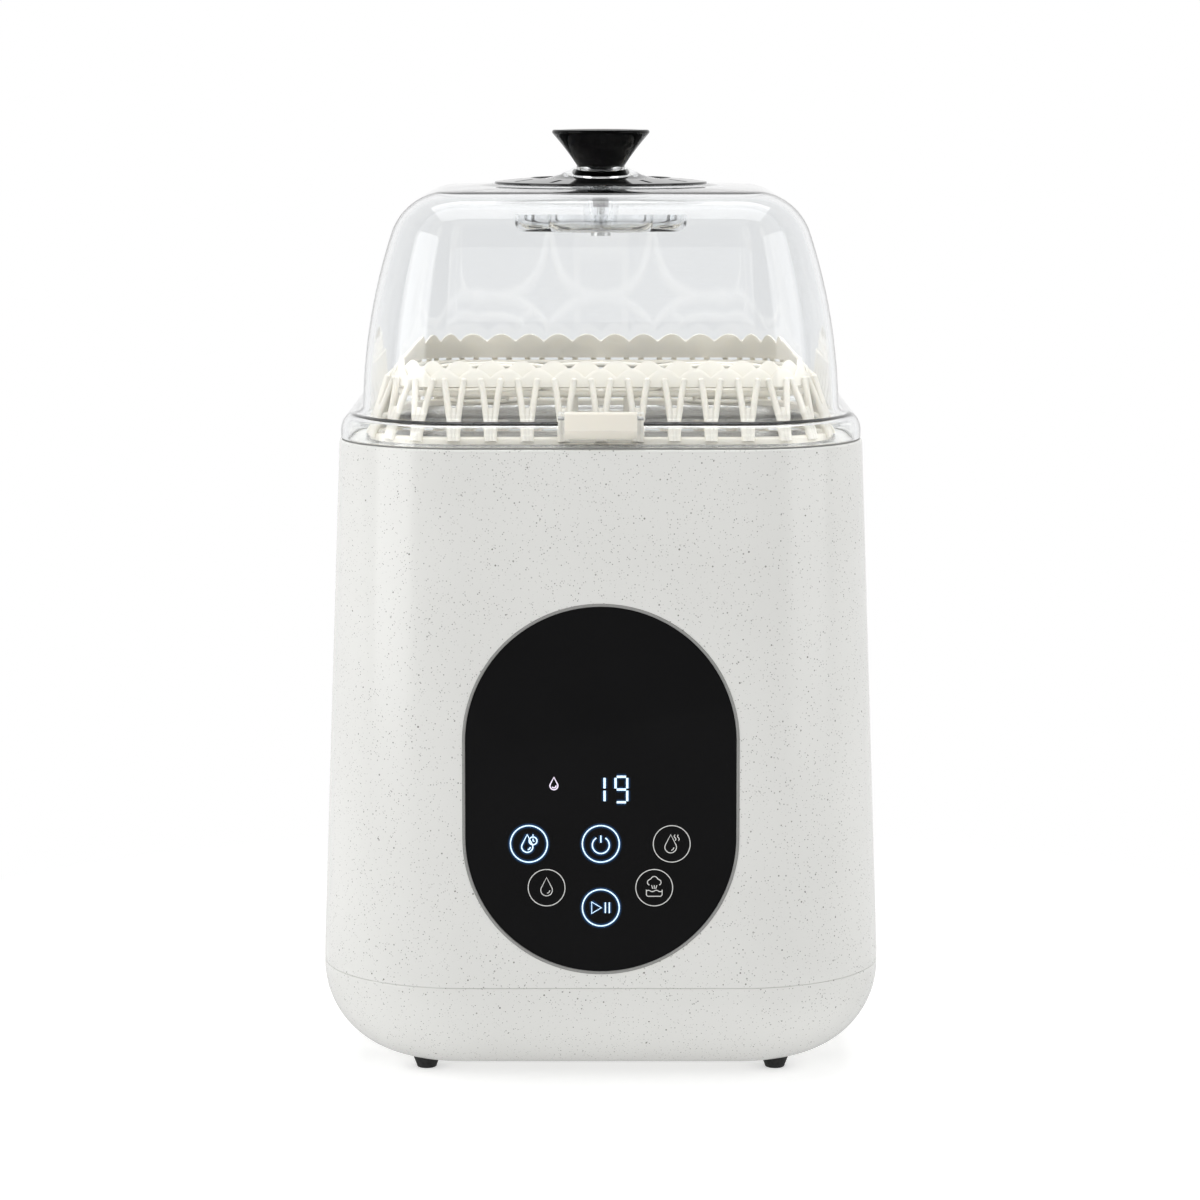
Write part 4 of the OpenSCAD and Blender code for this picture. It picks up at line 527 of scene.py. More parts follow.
screw_x, screw_front, screw_rear, screw_hole_r, screw_hole_top = in_mm(114, -90, 60, 4.2, 25)
slot_pitch, slot_half_w, slot_half_l, gland_r, gland_depth = in_mm(5, 1.5, 10, 9, 30)
fan_x, fan_y, _ = middle_of("fan_motor")
gland_x, _, gland_z = middle_of("cord_gland")
holes = [rod("screw_hole", (x, y, -beyond), (x, y, screw_hole_top), screw_hole_r)
         for x in (-screw_x, screw_x) for y in (screw_rear, screw_front)]
for k in range(-2, 3):
    slot_x = fan_x + k * slot_pitch
    holes.append(block("vent_slot", (slot_x - slot_half_w, fan_y - slot_half_l, 0),
                       (slot_x + slot_half_w, fan_y + slot_half_l, foot_h + 2 * wall)))
holes.append(rod("gland_hole", (gland_x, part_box("cord_gland")[1].y - gland_depth, gland_z),
                 (gland_x, half_d + beyond, gland_z), gland_r))
combine(base, holes)
dress(base, "speckled_shell", "body", "base_shell", angle=25)

# %% [markdown]
# The glossy panel is one flat lens with half-round ends, lying in its recess inside a thin grey bezel. Both
# get small round edges, because a bright line along an edge is what tells the eye that the piece is a
# separate moulding.

# %% Panel lens and bezel
lens_gap, lens_edge, lens_sunk, bezel_w, bezel_top, bezel_round = in_mm(1.4, 0.25, 0.2, 1.3, 0.35, 0.3)
lens_r = panel_r - lens_gap
rings = [stadium_ring(lens_r, -recess)]
rings += [stadium_ring(lens_r - lens_edge + lens_edge * c, -lens_sunk - lens_edge + lens_edge * s)
          for c, s in arc(0, 0, 1, 0, 90, 5)]
dress(loft("panel_lens", rings, capped=True), "gloss_black", "body", "control_panel", angle=50)

bezel_mid = panel_r - bezel_w / 2
rings = [stadium_ring(bezel_mid + bezel_w / 2 * c, bezel_top - bezel_round + bezel_round * s)
         for c, s in arc(0, 0, 1, 0, 180, 8)]
rings += [stadium_ring(panel_r - bezel_w, -recess), stadium_ring(panel_r, -recess)]
dress(loft("panel_bezel_ring", rings), "bezel_grey", "body", "panel_bezel", angle=50)

# %% [markdown]
# The signs on the panel are thin strokes: plain symbols for water, steam, time, power and start, and two
# figures of a seven-segment display. Each is drawn as lines of points, in millimetres round its own middle,
# and then moved to its place on the panel.


# %% Strokes of the signs
def drop(cx, cy, r):
    tip = (cx, cy + 2.2 * r)
    return [tip] + arc(cx, cy, r, 148, 392, 28) + [tip]


def drop_sign(cx, cy, r):
    return [drop(cx, cy, r), arc(cx, cy, r * 0.55, -80, -5, 8)]


def wisp(x, y, high):
    return [(x + 0.16 * high * math.sin(t / 6 * math.pi), y + 1.1 * high * t / 12) for t in range(13)]


def moved(strokes, x, y):
    return [[(x + a, y + b) for a, b in line] for line in strokes]


def buttons(*signs):
    rims = [arc(x, y, button_r, 0, 360, 64) for strokes, x, y in signs]
    return rims + [line for strokes, x, y in signs for line in moved(strokes, x, y)]


dial = [arc(2.0, 1.5, 1.9, 0, 360, 20), [(2.0, 2.6), (2.0, 1.5), (2.7, 1.2)], [(1.7, 4.3), (2.3, 4.3)]]
timed_wash = drop_sign(-0.8, -1.4, 2.7) + dial
power_sign = [arc(0, -0.6, 4.1, 122, 418, 36), [(0, 0.6), (0, 4.1)]]
steam_wash = drop_sign(-0.5, -1.6, 2.8) + [wisp(1.6, 1.6, 2.6), wisp(3.2, 1.6, 2.6)]
wash_sign = drop_sign(0, -1.2, 2.8)
cloud = arc(-1.9, 2.6, 1.4, 250, 110, 10) + arc(0, 3.8, 1.7, 160, 20, 12) + arc(1.9, 2.6, 1.4, 70, -70, 10)
ripple = [(-3.8 + 7.6 * t / 24, -1.6 + 0.35 * math.sin(t / 24 * 4 * math.pi)) for t in range(25)]
basin = arc(-2.8, -3.2, 1.0, 180, 270, 6) + arc(2.8, -3.2, 1.0, 270, 360, 6)
puffs = [[(s * 0.7, -0.5), (s * 1.3, 1.2)] for s in (-1, 0, 1)]
steam_bowl = [cloud, ripple, [(-3.8, -1.0)] + basin + [(3.8, -1.0)]] + puffs
arrow = [(-4.4, 2.8), (0.3, 0), (-4.4, -2.8), (-4.4, 2.8)]
start_pause = [arrow] + [[(x, -2.6), (x, 2.6)] for x in (2.2, 4.1)]

row_1, row_2, row_3, button_r = -26.3, -47.7, -57.5, 8.9
lit_strokes = buttons((timed_wash, -34.7, row_1), (power_sign, 0.0, row_1), (start_pause, 0, row_3))
dim_strokes = buttons((steam_wash, 34.2, row_1), (wash_sign, -26.2, row_2), (steam_bowl, 25.8, row_2))
level_strokes = [drop(-22.6, 2.0, 1.9), arc(-22.6, 2.0, 1.0, -150, 10, 8)]

half_wide, half_tall, gap = 2.8, 6.2, 0.55
level_bars = [[(gap - half_wide, y), (half_wide - gap, y)] for y in (half_tall, 0, -half_tall)]
left_bar, *right_bars = [[(x, y + gap), (x, y + half_tall - gap)]
                         for x, y in ((-half_wide, 0), (half_wide, 0), (half_wide, -half_tall))]
figure_strokes = moved(right_bars, 1.8 - half_wide, 0.2)
figure_strokes += moved(level_bars + [left_bar] + right_bars, 9.9, 0.2)
print("strokes:", len(lit_strokes), "lit,", len(dim_strokes), "printed")

# %% [markdown]
# Geometry Nodes trees turn lines into solid forms. One kind sweeps a small round section along each line, for
# strokes and later for rods. The other sweeps a flat strip and stores on it how near each point is to the
# middle, which the glow's finish reads.


# %% Trees for lines
def new_tree(name, **sizes):
    tree = bpy.data.node_groups.new(name, "GeometryNodeTree")
    kinds = {"Geometry": "Geometry", **sizes, "Finish": "Material"}
    names = {}
    for label, kind in kinds.items():
        made = tree.interface.new_socket(label, in_out="INPUT", socket_type="NodeSocket" + kind)
        names[label] = made.identifier
    tree.interface.new_socket("Geometry", in_out="OUTPUT", socket_type="NodeSocketGeometry")
    return tree, names, add(tree, "NodeGroupInput").outputs


def end_tree(tree, shape, given):
    real = add(tree, "GeometryNodeRealizeInstances", {"Geometry": shape})
    painted = add(tree, "GeometryNodeSetMaterial", {"Geometry": real, "Material": given["Finish"]})
    add(tree, "NodeGroupOutput", {"Geometry": painted})


def section(tree, sides, radius):
    return add(tree, "GeometryNodeCurvePrimitiveCircle", {"Resolution": sides, "Radius": radius})


def sweep(tree, line, outline, caps=True):
    return add(tree, "GeometryNodeCurveToMesh", {"Curve": line, "Profile Curve": outline, "Fill Caps": caps})


def round_tree(name, sides):
    tree, names, given = new_tree(name, Radius="Float")
    line = add(tree, "GeometryNodeMeshToCurve", {"Mesh": given["Geometry"]})
    end_tree(tree, sweep(tree, line, section(tree, sides, given["Radius"])), given)
    return tree, names


def glow_tree():
    tree, names, given = new_tree("stroke_glow", Reach="Float")
    line = add(tree, "GeometryNodeMeshToCurve", {"Mesh": given["Geometry"]})
    upright = add(tree, "GeometryNodeSetCurveNormal", {"Curve": line}, mode="Z_UP")
    left = xyz(tree, given["Reach"])
    right = add(tree, "ShaderNodeVectorMath", {0: left, "Scale": -1.0}, operation="SCALE")
    strip = add(tree, "GeometryNodeCurvePrimitiveLine", {"Start": left, "End": right})
    fine = add(tree, "GeometryNodeResampleCurve", {"Curve": strip, "Count": 9})
    along = add(tree, "GeometryNodeSplineParameter").outputs["Factor"]
    aside = calc(tree, "ABSOLUTE", calc(tree, "SUBTRACT", along, 0.5))
    near = ranged(tree, aside, from_high=0.5, to_low=1.0, to_high=0.0)
    marked = add(tree, "GeometryNodeStoreNamedAttribute", {"Geometry": fine, "Name": "glow", "Value": near})
    end_tree(tree, sweep(tree, upright, marked, False), given)
    return tree, names


def wire(runs):
    points, edges = [], []
    for run, is_loop in runs:
        start = len(points)
        points += run
        edges += [(start + i, start + i + 1) for i in range(len(run) - 1)]
        if is_loop:
            edges.append((start + len(run) - 1, start))
    return points, edges


def grow(name, points, edges, tree_names, finish, values, attributes=None, skin=0.0):
    tree, names = tree_names
    mesh = bpy.data.meshes.new(name)
    mesh.from_pydata([tuple(p) for p in points], edges, [])
    for label, numbers in (attributes or {}).items():
        mesh.attributes.new(label, "FLOAT", "POINT").data.foreach_set("value", numbers)
    piece = placed(name, mesh)
    step = piece.modifiers.new("grow", "NODES")
    step.node_group = tree
    for label, value in {**values, "Finish": finishes[finish]}.items():
        step[names[label]] = value
    if skin:
        piece.modifiers.new("thickness", "SOLIDIFY").thickness = skin
    return settle(piece)


stroke_line, stroke_glow = round_tree("stroke_line", 8), glow_tree()
print("trees for lines ready")

# %% [markdown]
# The finishes of the signs: white print, a blue-white light for the lit strokes, a faint violet-white for the
# water level sign, and the glow, which is as black as the lens at its edge and blue at its middle. The lit
# strokes also lie on a wider ribbon with that glow.


# %% Sign finishes and signs
def shining(name, colour, light, level):
    tree, shader = moulded(name, colour, 0.4, drift=0.02)
    feed(tree, shader, {"Emission Color": (*light, 1), "Emission Strength": level})


def glowing(name, light, level):
    tree, shader = gloss(name, lens_black, 0.06)
    nearness = add(tree, "ShaderNodeAttribute", attribute_name="glow").outputs["Fac"]
    shed = calc(tree, "MULTIPLY", calc(tree, "POWER", nearness, 2.0), level)
    feed(tree, shader, {"Emission Color": (*light, 1), "Emission Strength": shed})


moulded("white_print", (0.72, 0.72, 0.7), 0.4)
shining("lit_sign", (0.7, 0.85, 1.0), (0.55, 0.8, 1.0), 0.75)
shining("level_sign", (0.8, 0.72, 0.85), (0.85, 0.75, 0.95), 0.4)
glowing("sign_glow", (0.08, 0.3, 0.75), 0.45)
stroke_flat = Matrix.Diagonal((1, 1, 0.25, 1))
glow_above, glow_skin = in_mm(0.03, 0.02)


def on_lens(piece, finish, above=0.0, flat=Matrix.Identity(4)):
    piece.data.transform(panel_frame @ Matrix.Translation((0, 0, above - lens_sunk)) @ flat)
    dress(piece, finish, "body", slot="gloss_black")


def sign(name, strokes, width, finish):
    runs = []
    for line in strokes:
        is_loop = math.dist(line[0], line[-1]) < 1e-6
        kept = line[:-1] if is_loop else line
        runs.append(([(x * mm, y * mm, 0) for x, y in kept], is_loop))
    drawn = grow(name, *wire(runs), stroke_line, finish, {"Radius": width * mm / 2})
    on_lens(drawn, finish, flat=stroke_flat)


def halo(name, strokes, reach_out):
    runs = [([(x * mm, y * mm, 0) for x, y in line], False) for line in strokes]
    ribbon = grow(name, *wire(runs), stroke_glow, "sign_glow", {"Reach": reach_out * mm}, skin=glow_skin)
    on_lens(ribbon, "sign_glow", glow_above)


sign("signs_lit", lit_strokes, 0.75, "lit_sign")
sign("signs_printed", dim_strokes, 0.42, "white_print")
sign("sign_level", level_strokes, 0.6, "level_sign")
sign("display_figures", figure_strokes, 1.25, "lit_sign")
halo("signs_lit_glow", lit_strokes, 1.6)
halo("display_figures_glow", figure_strokes, 1.9)

# %% [markdown]
# The lid is one clear moulding: a bull-nosed flange, bowed walls, a round shoulder and a gently crowned roof
# with a boss for the knob. The profile is carried round the square plan as far as the shoulder. From there
# the rings turn step by step into circles, so the roof flows into the round parts in the middle.

# %% Clear lid
lid_half, lid_y = half_width("lid_dome"), middle_of("lid_dome")[1]
lid_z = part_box("lid_dome")[0].z
seal_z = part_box("lid_seal")[0].z
front_y = lid_y - lid_half
lid_corner, lid_t, flange_h, flange_step, skirt_h, fillet = in_mm(61.5, 3, 10.6, 10.9, 2, 4)
lid_plan = (lid_half, lid_half, lid_corner, lid_y)
skirt_z = seal_z + 0.9 * mm
dome_top = lid_z + 123.9 * mm
cap_h, cap_r, roof_rise, dome_bow, shoulder_r = in_mm(4.25, 62, 1.4, 285, 30)
roof_z = dome_top - cap_h
shoulder_end = 80
wall_z = lid_z + 8.5 * mm
wall_cx = -flange_step - dome_bow
bow_r = dome_bow - shoulder_r
lift_z = roof_z - roof_rise - wall_z - shoulder_r * math.sin(math.radians(shoulder_end))
wall_end = math.degrees(math.asin(lift_z / bow_r))
shoulder_x = wall_cx + bow_r * math.cos(math.radians(wall_end))
shoulder_z = wall_z + bow_r * math.sin(math.radians(wall_end))
cap_bow = (cap_r ** 2 + cap_h ** 2) / (2 * cap_h)
boss_foot, boss_top, boss_h, neck_hole, stem_hole = in_mm(24.2, 13.4, 5, 12.3, 4.3)
ease_in, ease_rise, roof_start, roof_end = in_mm(4, 1.2, 58, 28)
ring_in, ring_out, ring_sunk = in_mm(35.1, 53.9, 1)
under_roof = in_mm(56, 50, 44, 38, 32, 24, 16, 8)


def cap_z(r):
    return dome_top - cap_bow + math.sqrt(cap_bow ** 2 - r ** 2)


def lid_skin(inset):
    foot_x, foot_z = fillet - flange_step, lid_z + flange_h + fillet
    start = math.degrees(math.asin((foot_z - wall_z) / (dome_bow - inset)))
    line = [(-inset, skirt_z)]
    line += arc(foot_x, lid_z + skirt_h, -foot_x - inset, 0, 90, 12, rise=flange_h - skirt_h - inset)
    line += arc(foot_x, foot_z, fillet + inset, -100, -175, 7)
    line += arc(wall_cx, wall_z, dome_bow - inset, start + 0.3, wall_end, 14)
    line += arc(shoulder_x, shoulder_z, shoulder_r - inset, wall_end + 4, shoulder_end, 18)
    rings = carried(line, *lid_plan)
    edge, edge_z = rings[-1], line[-1][1]
    for i in range(1, 9):
        t = i / 8
        ease = t * t * (3 - 2 * t)
        z = edge_z + (cap_z(cap_r) - inset - edge_z) * math.sin(t * math.pi / 2)
        rounding = t + (1 - t) * ease * t
        rounds = circle_like(edge, cap_r, z, lid_y)
        rings.append([Vector((p.x, p.y, z)).lerp(q, rounding) for p, q in zip(edge, rounds)])
    if inset:
        middle = [(r, cap_z(r) - inset) for r in (*under_roof, stem_hole)]
    else:
        middle = [(r, cap_z(r)) for r in (roof_start, ring_out)]
        middle += [(r, cap_z(r) - ring_sunk) for r in (ring_out, ring_in)]
        middle += [(r, cap_z(r)) for r in (ring_in, roof_end)]
        middle += [(boss_foot, dome_top), (boss_foot - ease_in, dome_top + ease_rise),
                   (boss_top, dome_top + boss_h), (neck_hole, dome_top + boss_h), (neck_hole, dome_top),
                   (stem_hole, dome_top)]
    return rings + [circle_like(edge, r, z, lid_y) for r, z in middle]


dome = loft("clear_lid_dome", lid_skin(0) + lid_skin(lid_t)[::-1])
latch_half = half_width("lid_latch")
cheek, socket_h, socket_face, inner_room = in_mm(3.1, 14.7, 0.4, 0.2)
latch_room, notch_depth, notch_over = in_mm(0.4, 7.6, 4)
socket_back = front_y + flange_step + lid_t - inner_room
combine(dome, [block("latch_socket", (-latch_half - cheek, front_y + socket_face, lid_z),
                     (latch_half + cheek, socket_back, lid_z + socket_h))], "UNION")
combine(dome, [block("latch_notch", (-latch_half - latch_room, front_y - beyond, lid_z - beyond),
                     (latch_half + latch_room, front_y + notch_depth, lid_z + socket_h + notch_over))])
dress(dome, "clear_lid", "lid", "lid_dome", angle=40)

seal_in, seal_out, seal_r, seal_gap = in_mm(3.8, 0.3, 0.4, 0.05)
profile = [(-seal_in, seal_z)] + arc(-seal_out - seal_r, seal_z + seal_r, seal_r, -90, 0, 4)
profile += [(-seal_out, skirt_z - seal_gap), (-seal_in, skirt_z - seal_gap)]
seal = loft("lid_seal_ring", carried(profile, *lid_plan))
dress(seal, "seal_rubber", "lid", "lid_seal")

# %% [markdown]
# The knob is a turned, waisted piece in gloss black with a dished top. The vent ring lies in its groove in
# the roof and is pierced by twelve slots, and the deflector under the roof is a shallow clear cup with a
# petal outline.

# %% Knob, vent ring and deflector
knob_foot, knob_top = [corner.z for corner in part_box("lid_knob")]
knob_r = half_width("lid_knob")
knob_middle = (0, lid_y)
neck_r, stem_r, axis_r, neck_rise, knob_edge, dish_drop = in_mm(12.1, 4, 0.01, 0.6, 1.2, 0.8)
side_inset, side_end, lip_w, lip_end, lip_drop, dish_in = in_mm(0.5, 2.2, 4, 5.5, 0.25, 8)
side_low, side_high = dome_top + boss_h + neck_rise, knob_top - side_end
side_reach = knob_r - side_inset - neck_r
profile = [(axis_r, knob_foot), (stem_r, knob_foot), (stem_r, dome_top), (neck_r, dome_top),
           (neck_r, side_low)]
for i in range(1, 9):
    t = i / 8
    profile.append((neck_r + side_reach * (0.86 * t + 0.14 * t * t), side_low + (side_high - side_low) * t))
profile += arc(knob_r - knob_edge, knob_top - knob_edge, knob_edge, -20, 90, 8)
profile += [(knob_r - lip_w, knob_top), (knob_r - lip_end, knob_top - lip_drop),
            (knob_r - dish_in, knob_top - dish_drop), (axis_r, knob_top - dish_drop)]
knob = turned("lid_knob_turned", profile, 128, knob_middle)
dress(knob, "knob_black", "lid", "lid_knob", slot="gloss_black", angle=30)

vent_in, vent_out, vent_t, vent_edge, vent_bevel, vent_lift = in_mm(35.3, 53.7, 1.8, 0.5, 0.4, 0.05)
vent_slots = 12
slot_in, slot_out, slot_half, slot_under, slot_over = in_mm(39.5, 49.5, 1.2, 6, 9)
in_z, out_z = [cap_z(r) - ring_sunk + vent_lift for r in (vent_in, vent_out)]
profile = [(vent_in, in_z), (vent_out, out_z), (vent_out, out_z + vent_t - vent_edge)]
profile += arc(vent_out - vent_edge, out_z + vent_t - vent_edge, vent_edge, 20, 90, 4)
profile += [(vent_in + vent_bevel, in_z + vent_t), (vent_in, in_z + vent_t - vent_bevel)]
vent = turned("vent_ring_moulded", profile, 144, knob_middle)
slots = []
for k in range(vent_slots):
    tool = block("vent_slot", (slot_in, -slot_half, roof_z - slot_under),
                 (slot_out, slot_half, roof_z + slot_over))
    spin = Matrix.Rotation(2 * math.pi * k / vent_slots, 4, "Z")
    tool.data.transform(Matrix.Translation((0, lid_y, 0)) @ spin)
    slots.append(tool)
combine(vent, slots)
dress(vent, "gloss_black", "lid", "vent_ring", angle=30)

cup_z, cup_top = [corner.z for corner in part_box("spray_deflector")]
petals, cup_steps = 8, 192
petal_at, petal_r, petal_wall, cup_floor, cup_h, hub_r, bore_r, dish = in_mm(31.7, 14, 1.8, 2, 10, 9, 4.1, 5)


def petal_ring(shrink, z):
    ring = []
    for j in range(cup_steps):
        a = 2 * math.pi * j / cup_steps
        pitch = 2 * math.pi / petals
        off = (a % pitch) - pitch / 2
        out = petal_at * math.cos(off) + math.sqrt(petal_r ** 2 - (petal_at * math.sin(off)) ** 2) - shrink
        ring.append(Vector((out * math.cos(a), lid_y + out * math.sin(a), z)))
    return ring


def hub_rings(*sizes):
    return [circle(r, z, cup_steps, knob_middle) for r, z in sizes]


rings = hub_rings((bore_r, cup_z), (hub_r, cup_z)) + [petal_ring(dish, cup_z)]
rings += [petal_ring(dish - dish * c, cup_z + dish + dish * s) for c, s in arc(0, 0, 1, -75, 0, 7)]
rings += [petal_ring(0, cup_z + cup_h), petal_ring(petal_wall, cup_z + cup_h)]
rings += [petal_ring(petal_wall + dish - dish * c, cup_z + cup_floor + dish + dish * s)
          for c, s in arc(0, 0, 1, 0, -75, 7)]
rings += hub_rings((hub_r, cup_z + cup_floor), (hub_r, cup_top), (bore_r, cup_top))
dress(loft("spray_deflector_cup", rings), "clear_lid", "lid", "spray_deflector", angle=40)

# %% [markdown]
# The latch hangs in its notch at the front of the lid: an upper face that the finger meets, a ridge, and a
# lip below it that leans back. It is one extruded profile with softened edges, thick at the top, where its
# pin runs.

# %% Latch
latch_line = [(3.0, 2.3), (2.6, 2.7), (0.5, 5.9), (-1.1, 6.5), (-0.9, 7.6), (0.9, 14.2), (2.0, 15.2),
              (4.4, 15.2), (6.6, 13.4), (6.8, 12.2), (6.4, 10.8), (4.6, 9.8), (4.2, 5.3), (4.2, 2.3)]
ends = [[Vector((x, front_y + y * mm, lid_z + z * mm)) for y, z in latch_line]
        for x in (-latch_half, latch_half)]
latch = loft("front_latch", ends, capped=True)
soften(latch, 0.35 * mm, 3)
dress(latch, "cream_plastic", "latch", "lid_latch", angle=50)

# %% [markdown]
# The accessory tray is the piece that takes the most care: forked struts lean in from the tub's rim and carry
# two thin bands whose upper edges are cut in scallops, the inner row higher and half a step along from the
# outer one. One function gives any point of the bands' leaning, rounded-square wall.

# %% Accessory tray: bands
tray_half, tray_z = half_width("accessory_tray"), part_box("accessory_tray")[0].z
tray_lean = math.radians(19)
tray_base = tray_z + 3.2 * mm
scallops, scallop_arc = 13, math.radians(62)
tray_corner, scallop_pitch, scallop_depth, band_foot = in_mm(40, 15.2, 4.4, 25.4)
outer_peak, inner_peak, band_t, band_gap, band_in, band_thin = in_mm(34.6, 38.8, 1.3, 0.1, 2.5, 0.25)
tray_straight = tray_half - tray_corner
quarter = math.pi / 2


def tray_wall(step, up, out):
    side = math.floor(step / scallops + 0.5)
    along = step - side * scallops
    straight_steps = tray_straight / scallop_pitch
    turn, x = 0.0, along * scallop_pitch
    if abs(along) > straight_steps:
        share = (abs(along) - straight_steps) / (scallops / 2 - straight_steps)
        turn = math.copysign(share * math.pi / 4, along)
        x = math.copysign(tray_straight, along)
    r = tray_corner - up * math.sin(tray_lean) + out * math.cos(tray_lean)
    p = Vector((x + r * math.sin(turn), -tray_straight - r * math.cos(turn), 0))
    p.rotate(Matrix.Rotation(side * quarter, 3, "Z"))
    return p + Vector((0, lid_y, tray_base + up * math.cos(tray_lean) + out * math.sin(tray_lean)))


def band(name, peak, shift, out):
    fine, rows = 14, 7
    order = [(0, row) for row in range(rows + 1)] + [(1, row) for row in reversed(range(rows + 1))]
    rings = []
    for skin, row in order:
        thin = band_thin if row == rows else 0
        ring = []
        for step in [j / fine for j in range(4 * scallops * fine)]:
            wave = abs((step + shift) % 1.0 - 0.5)
            dip = (1 - math.cos(wave * 2 * scallop_arc)) / (1 - math.cos(scallop_arc))
            up = band_foot + (peak - scallop_depth * dip - band_foot) * row / rows
            ring.append(tray_wall(step, up, out + thin + skin * (band_t - 2 * thin)))
        rings.append(ring)
    dress(loft(name, rings), "cream_plastic", "body", "accessory_tray", angle=40)


band("tray_outer_band", outer_peak, 0.5, -band_in)
band("tray_inner_band", inner_peak, 0.0, -band_in - band_t - band_gap)

# %% [markdown]
# The struts repeat all the way round, so a Geometry Nodes tree makes one fork from its named sizes and puts a
# copy on each point of a row. Each point carries the turn of its strut, so the forks fan out round the
# corners.

# %% Accessory tray: forked struts
strut_sizes = dict(zip(("Radius", "Foot", "Fork", "Web", "Spread", "Rise"),
                       in_mm(1.55, 1.6, 11, 14.5, 4.7, 28)))
strut_sizes["Lean"] = -tray_lean
strut_root = -2 * mm


def fork_tree():
    tree, names, given = new_tree("forked_strut", **{label: "Float" for label in strut_sizes})
    outline = section(tree, 12, given["Radius"])
    arms = add(tree, "GeometryNodeJoinGeometry")
    for side in (-1.0, 1.0):
        foot_x = calc(tree, "MULTIPLY", given["Foot"], side)
        top_x = calc(tree, "MULTIPLY", given["Spread"], side)
        foot, knee = xyz(tree, foot_x, z=strut_root), xyz(tree, foot_x, z=given["Fork"])
        top = xyz(tree, top_x, z=given["Rise"])
        line = add(tree, "GeometryNodeCurveQuadraticBezier", {
            "Resolution": 14, "Start": foot, "Middle": knee, "End": top})
        tip = add(tree, "GeometryNodeMeshUVSphere", {"Segments": 12, "Rings": 6, "Radius": given["Radius"]})
        feed(tree, arms, {0: sweep(tree, line, outline)})
        feed(tree, arms, {0: add(tree, "GeometryNodeTransform", {"Geometry": tip, "Translation": top})})
    root, crotch = xyz(tree, z=strut_root), xyz(tree, z=given["Web"])
    spine = add(tree, "GeometryNodeCurvePrimitiveLine", {"Start": root, "End": crotch})
    feed(tree, arms, {0: sweep(tree, spine, outline)})
    leaning = add(tree, "GeometryNodeTransform", {"Geometry": arms, "Rotation": xyz(tree, given["Lean"])})
    turn = add(tree, "GeometryNodeInputNamedAttribute", {"Name": "turn"})
    copies = add(tree, "GeometryNodeInstanceOnPoints", {
        "Points": given["Geometry"], "Instance": leaning, "Rotation": xyz(tree, z=turn)})
    end_tree(tree, copies, given)
    return tree, names


strut_pitch, side_struts, corner_struts = 17.7 * mm, 4, 3
spins = [Matrix.Rotation(q * quarter, 3, "Z") for q in range(4)]
tray_middle = Vector((0, lid_y, tray_base))
row = [(k * strut_pitch, 0.0) for k in range(-side_struts, side_struts + 1)]
row += [(tray_straight, k * quarter / (corner_struts + 1)) for k in range(1, corner_struts + 1)]
feet, turns = [], []
for side, spin in enumerate(spins):
    for x, a in row:
        foot = Vector((x + tray_corner * math.sin(a), -tray_straight - tray_corner * math.cos(a), 0))
        feet.append(tray_middle + spin @ foot)
        turns.append(side * quarter + a)
struts = grow("tray_struts", feet, [], fork_tree(), "cream_plastic", strut_sizes, {"turn": turns})
dress(struts, "cream_plastic", "body", "accessory_tray")

rail_w, rail_edge = in_mm(6, 0.8)
profile = [(-rail_w, tray_z), (0, tray_z), (0, tray_base - rail_edge), (-rail_edge, tray_base),
           (rail_edge - rail_w, tray_base), (-rail_w, tray_base - rail_edge)]
rail = loft("tray_foot_ring", carried(profile, tray_half, tray_half, tray_corner, lid_y))
dress(rail, "cream_plastic", "body", "accessory_tray")

# %% [markdown]
# The tray's floor is a net of round rods: nine rings side by side inside a frame, with short rods between
# them and four deeper rings that guide the bottles' necks. The same kind of tree as for the strokes sweeps
# them.

# %% Accessory tray: floor of rods
round_rods = round_tree("round_rods", 14)
net_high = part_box("tray_floor")[1]
grid = (-1, 0, 1)
net_rod, guide_rod, net_corner, net_gap, net_margin, guide_in = in_mm(1.5, 1.2, 30, 0.1, 15.9, 12.5)
net_z = net_high.z - net_rod
net_edge = net_high.x - net_rod - net_gap
ring_pitch = (net_high.x - net_margin) / (len(grid) / 2)
net_ring = ring_pitch / 2
guide_ring = net_ring - guide_in
guide_drop = net_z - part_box("neck_guides")[0].z - guide_rod


def hoop(middle, radius, end, steps):
    return [middle + Vector((x, y, 0)) for x, y in arc(0, 0, radius, 0, end, steps)]


def rods(name, loops, lines, radius, *stands_for):
    runs = [(run, True) for run in loops] + [(run, False) for run in lines]
    piece = grow(name, *wire(runs), round_rods, "cream_plastic", {"Radius": radius})
    dress(piece, "cream_plastic", "body", *stands_for)


net_middle = Vector((0, lid_y, net_z))
middles = [net_middle + Vector((i * ring_pitch, j * ring_pitch, 0)) for i in grid for j in grid]
loops = [hoop(middle, net_ring, 354, 59) for middle in middles]
loops.append(rounded_ring(net_edge, net_edge, net_corner, net_z, lid_y, 10, 6))
lines = [[spin @ Vector((r, i * ring_pitch, 0)) + net_middle for r in (ring_pitch + net_ring, net_edge)]
         for spin in spins for i in grid]
rods("tray_floor_net", loops, lines, net_rod, "tray_floor", "tray_rings")

loops, lines = [], []
down = Vector((0, 0, -guide_drop))
corner_rings = (0, 2, 6, 8)
for middle in [middles[n] for n in corner_rings]:
    loops += [hoop(m, guide_ring, 350, 35) for m in (middle, middle + down)]
    for k in range(4):
        a = math.pi / 4 + k * quarter
        out = Vector((math.cos(a), math.sin(a), 0))
        near = middle + out * guide_ring
        lines += [[near, middle + out * net_ring], [near, near + down]]
rods("tray_neck_guides", loops, lines, guide_rod, "neck_guides")

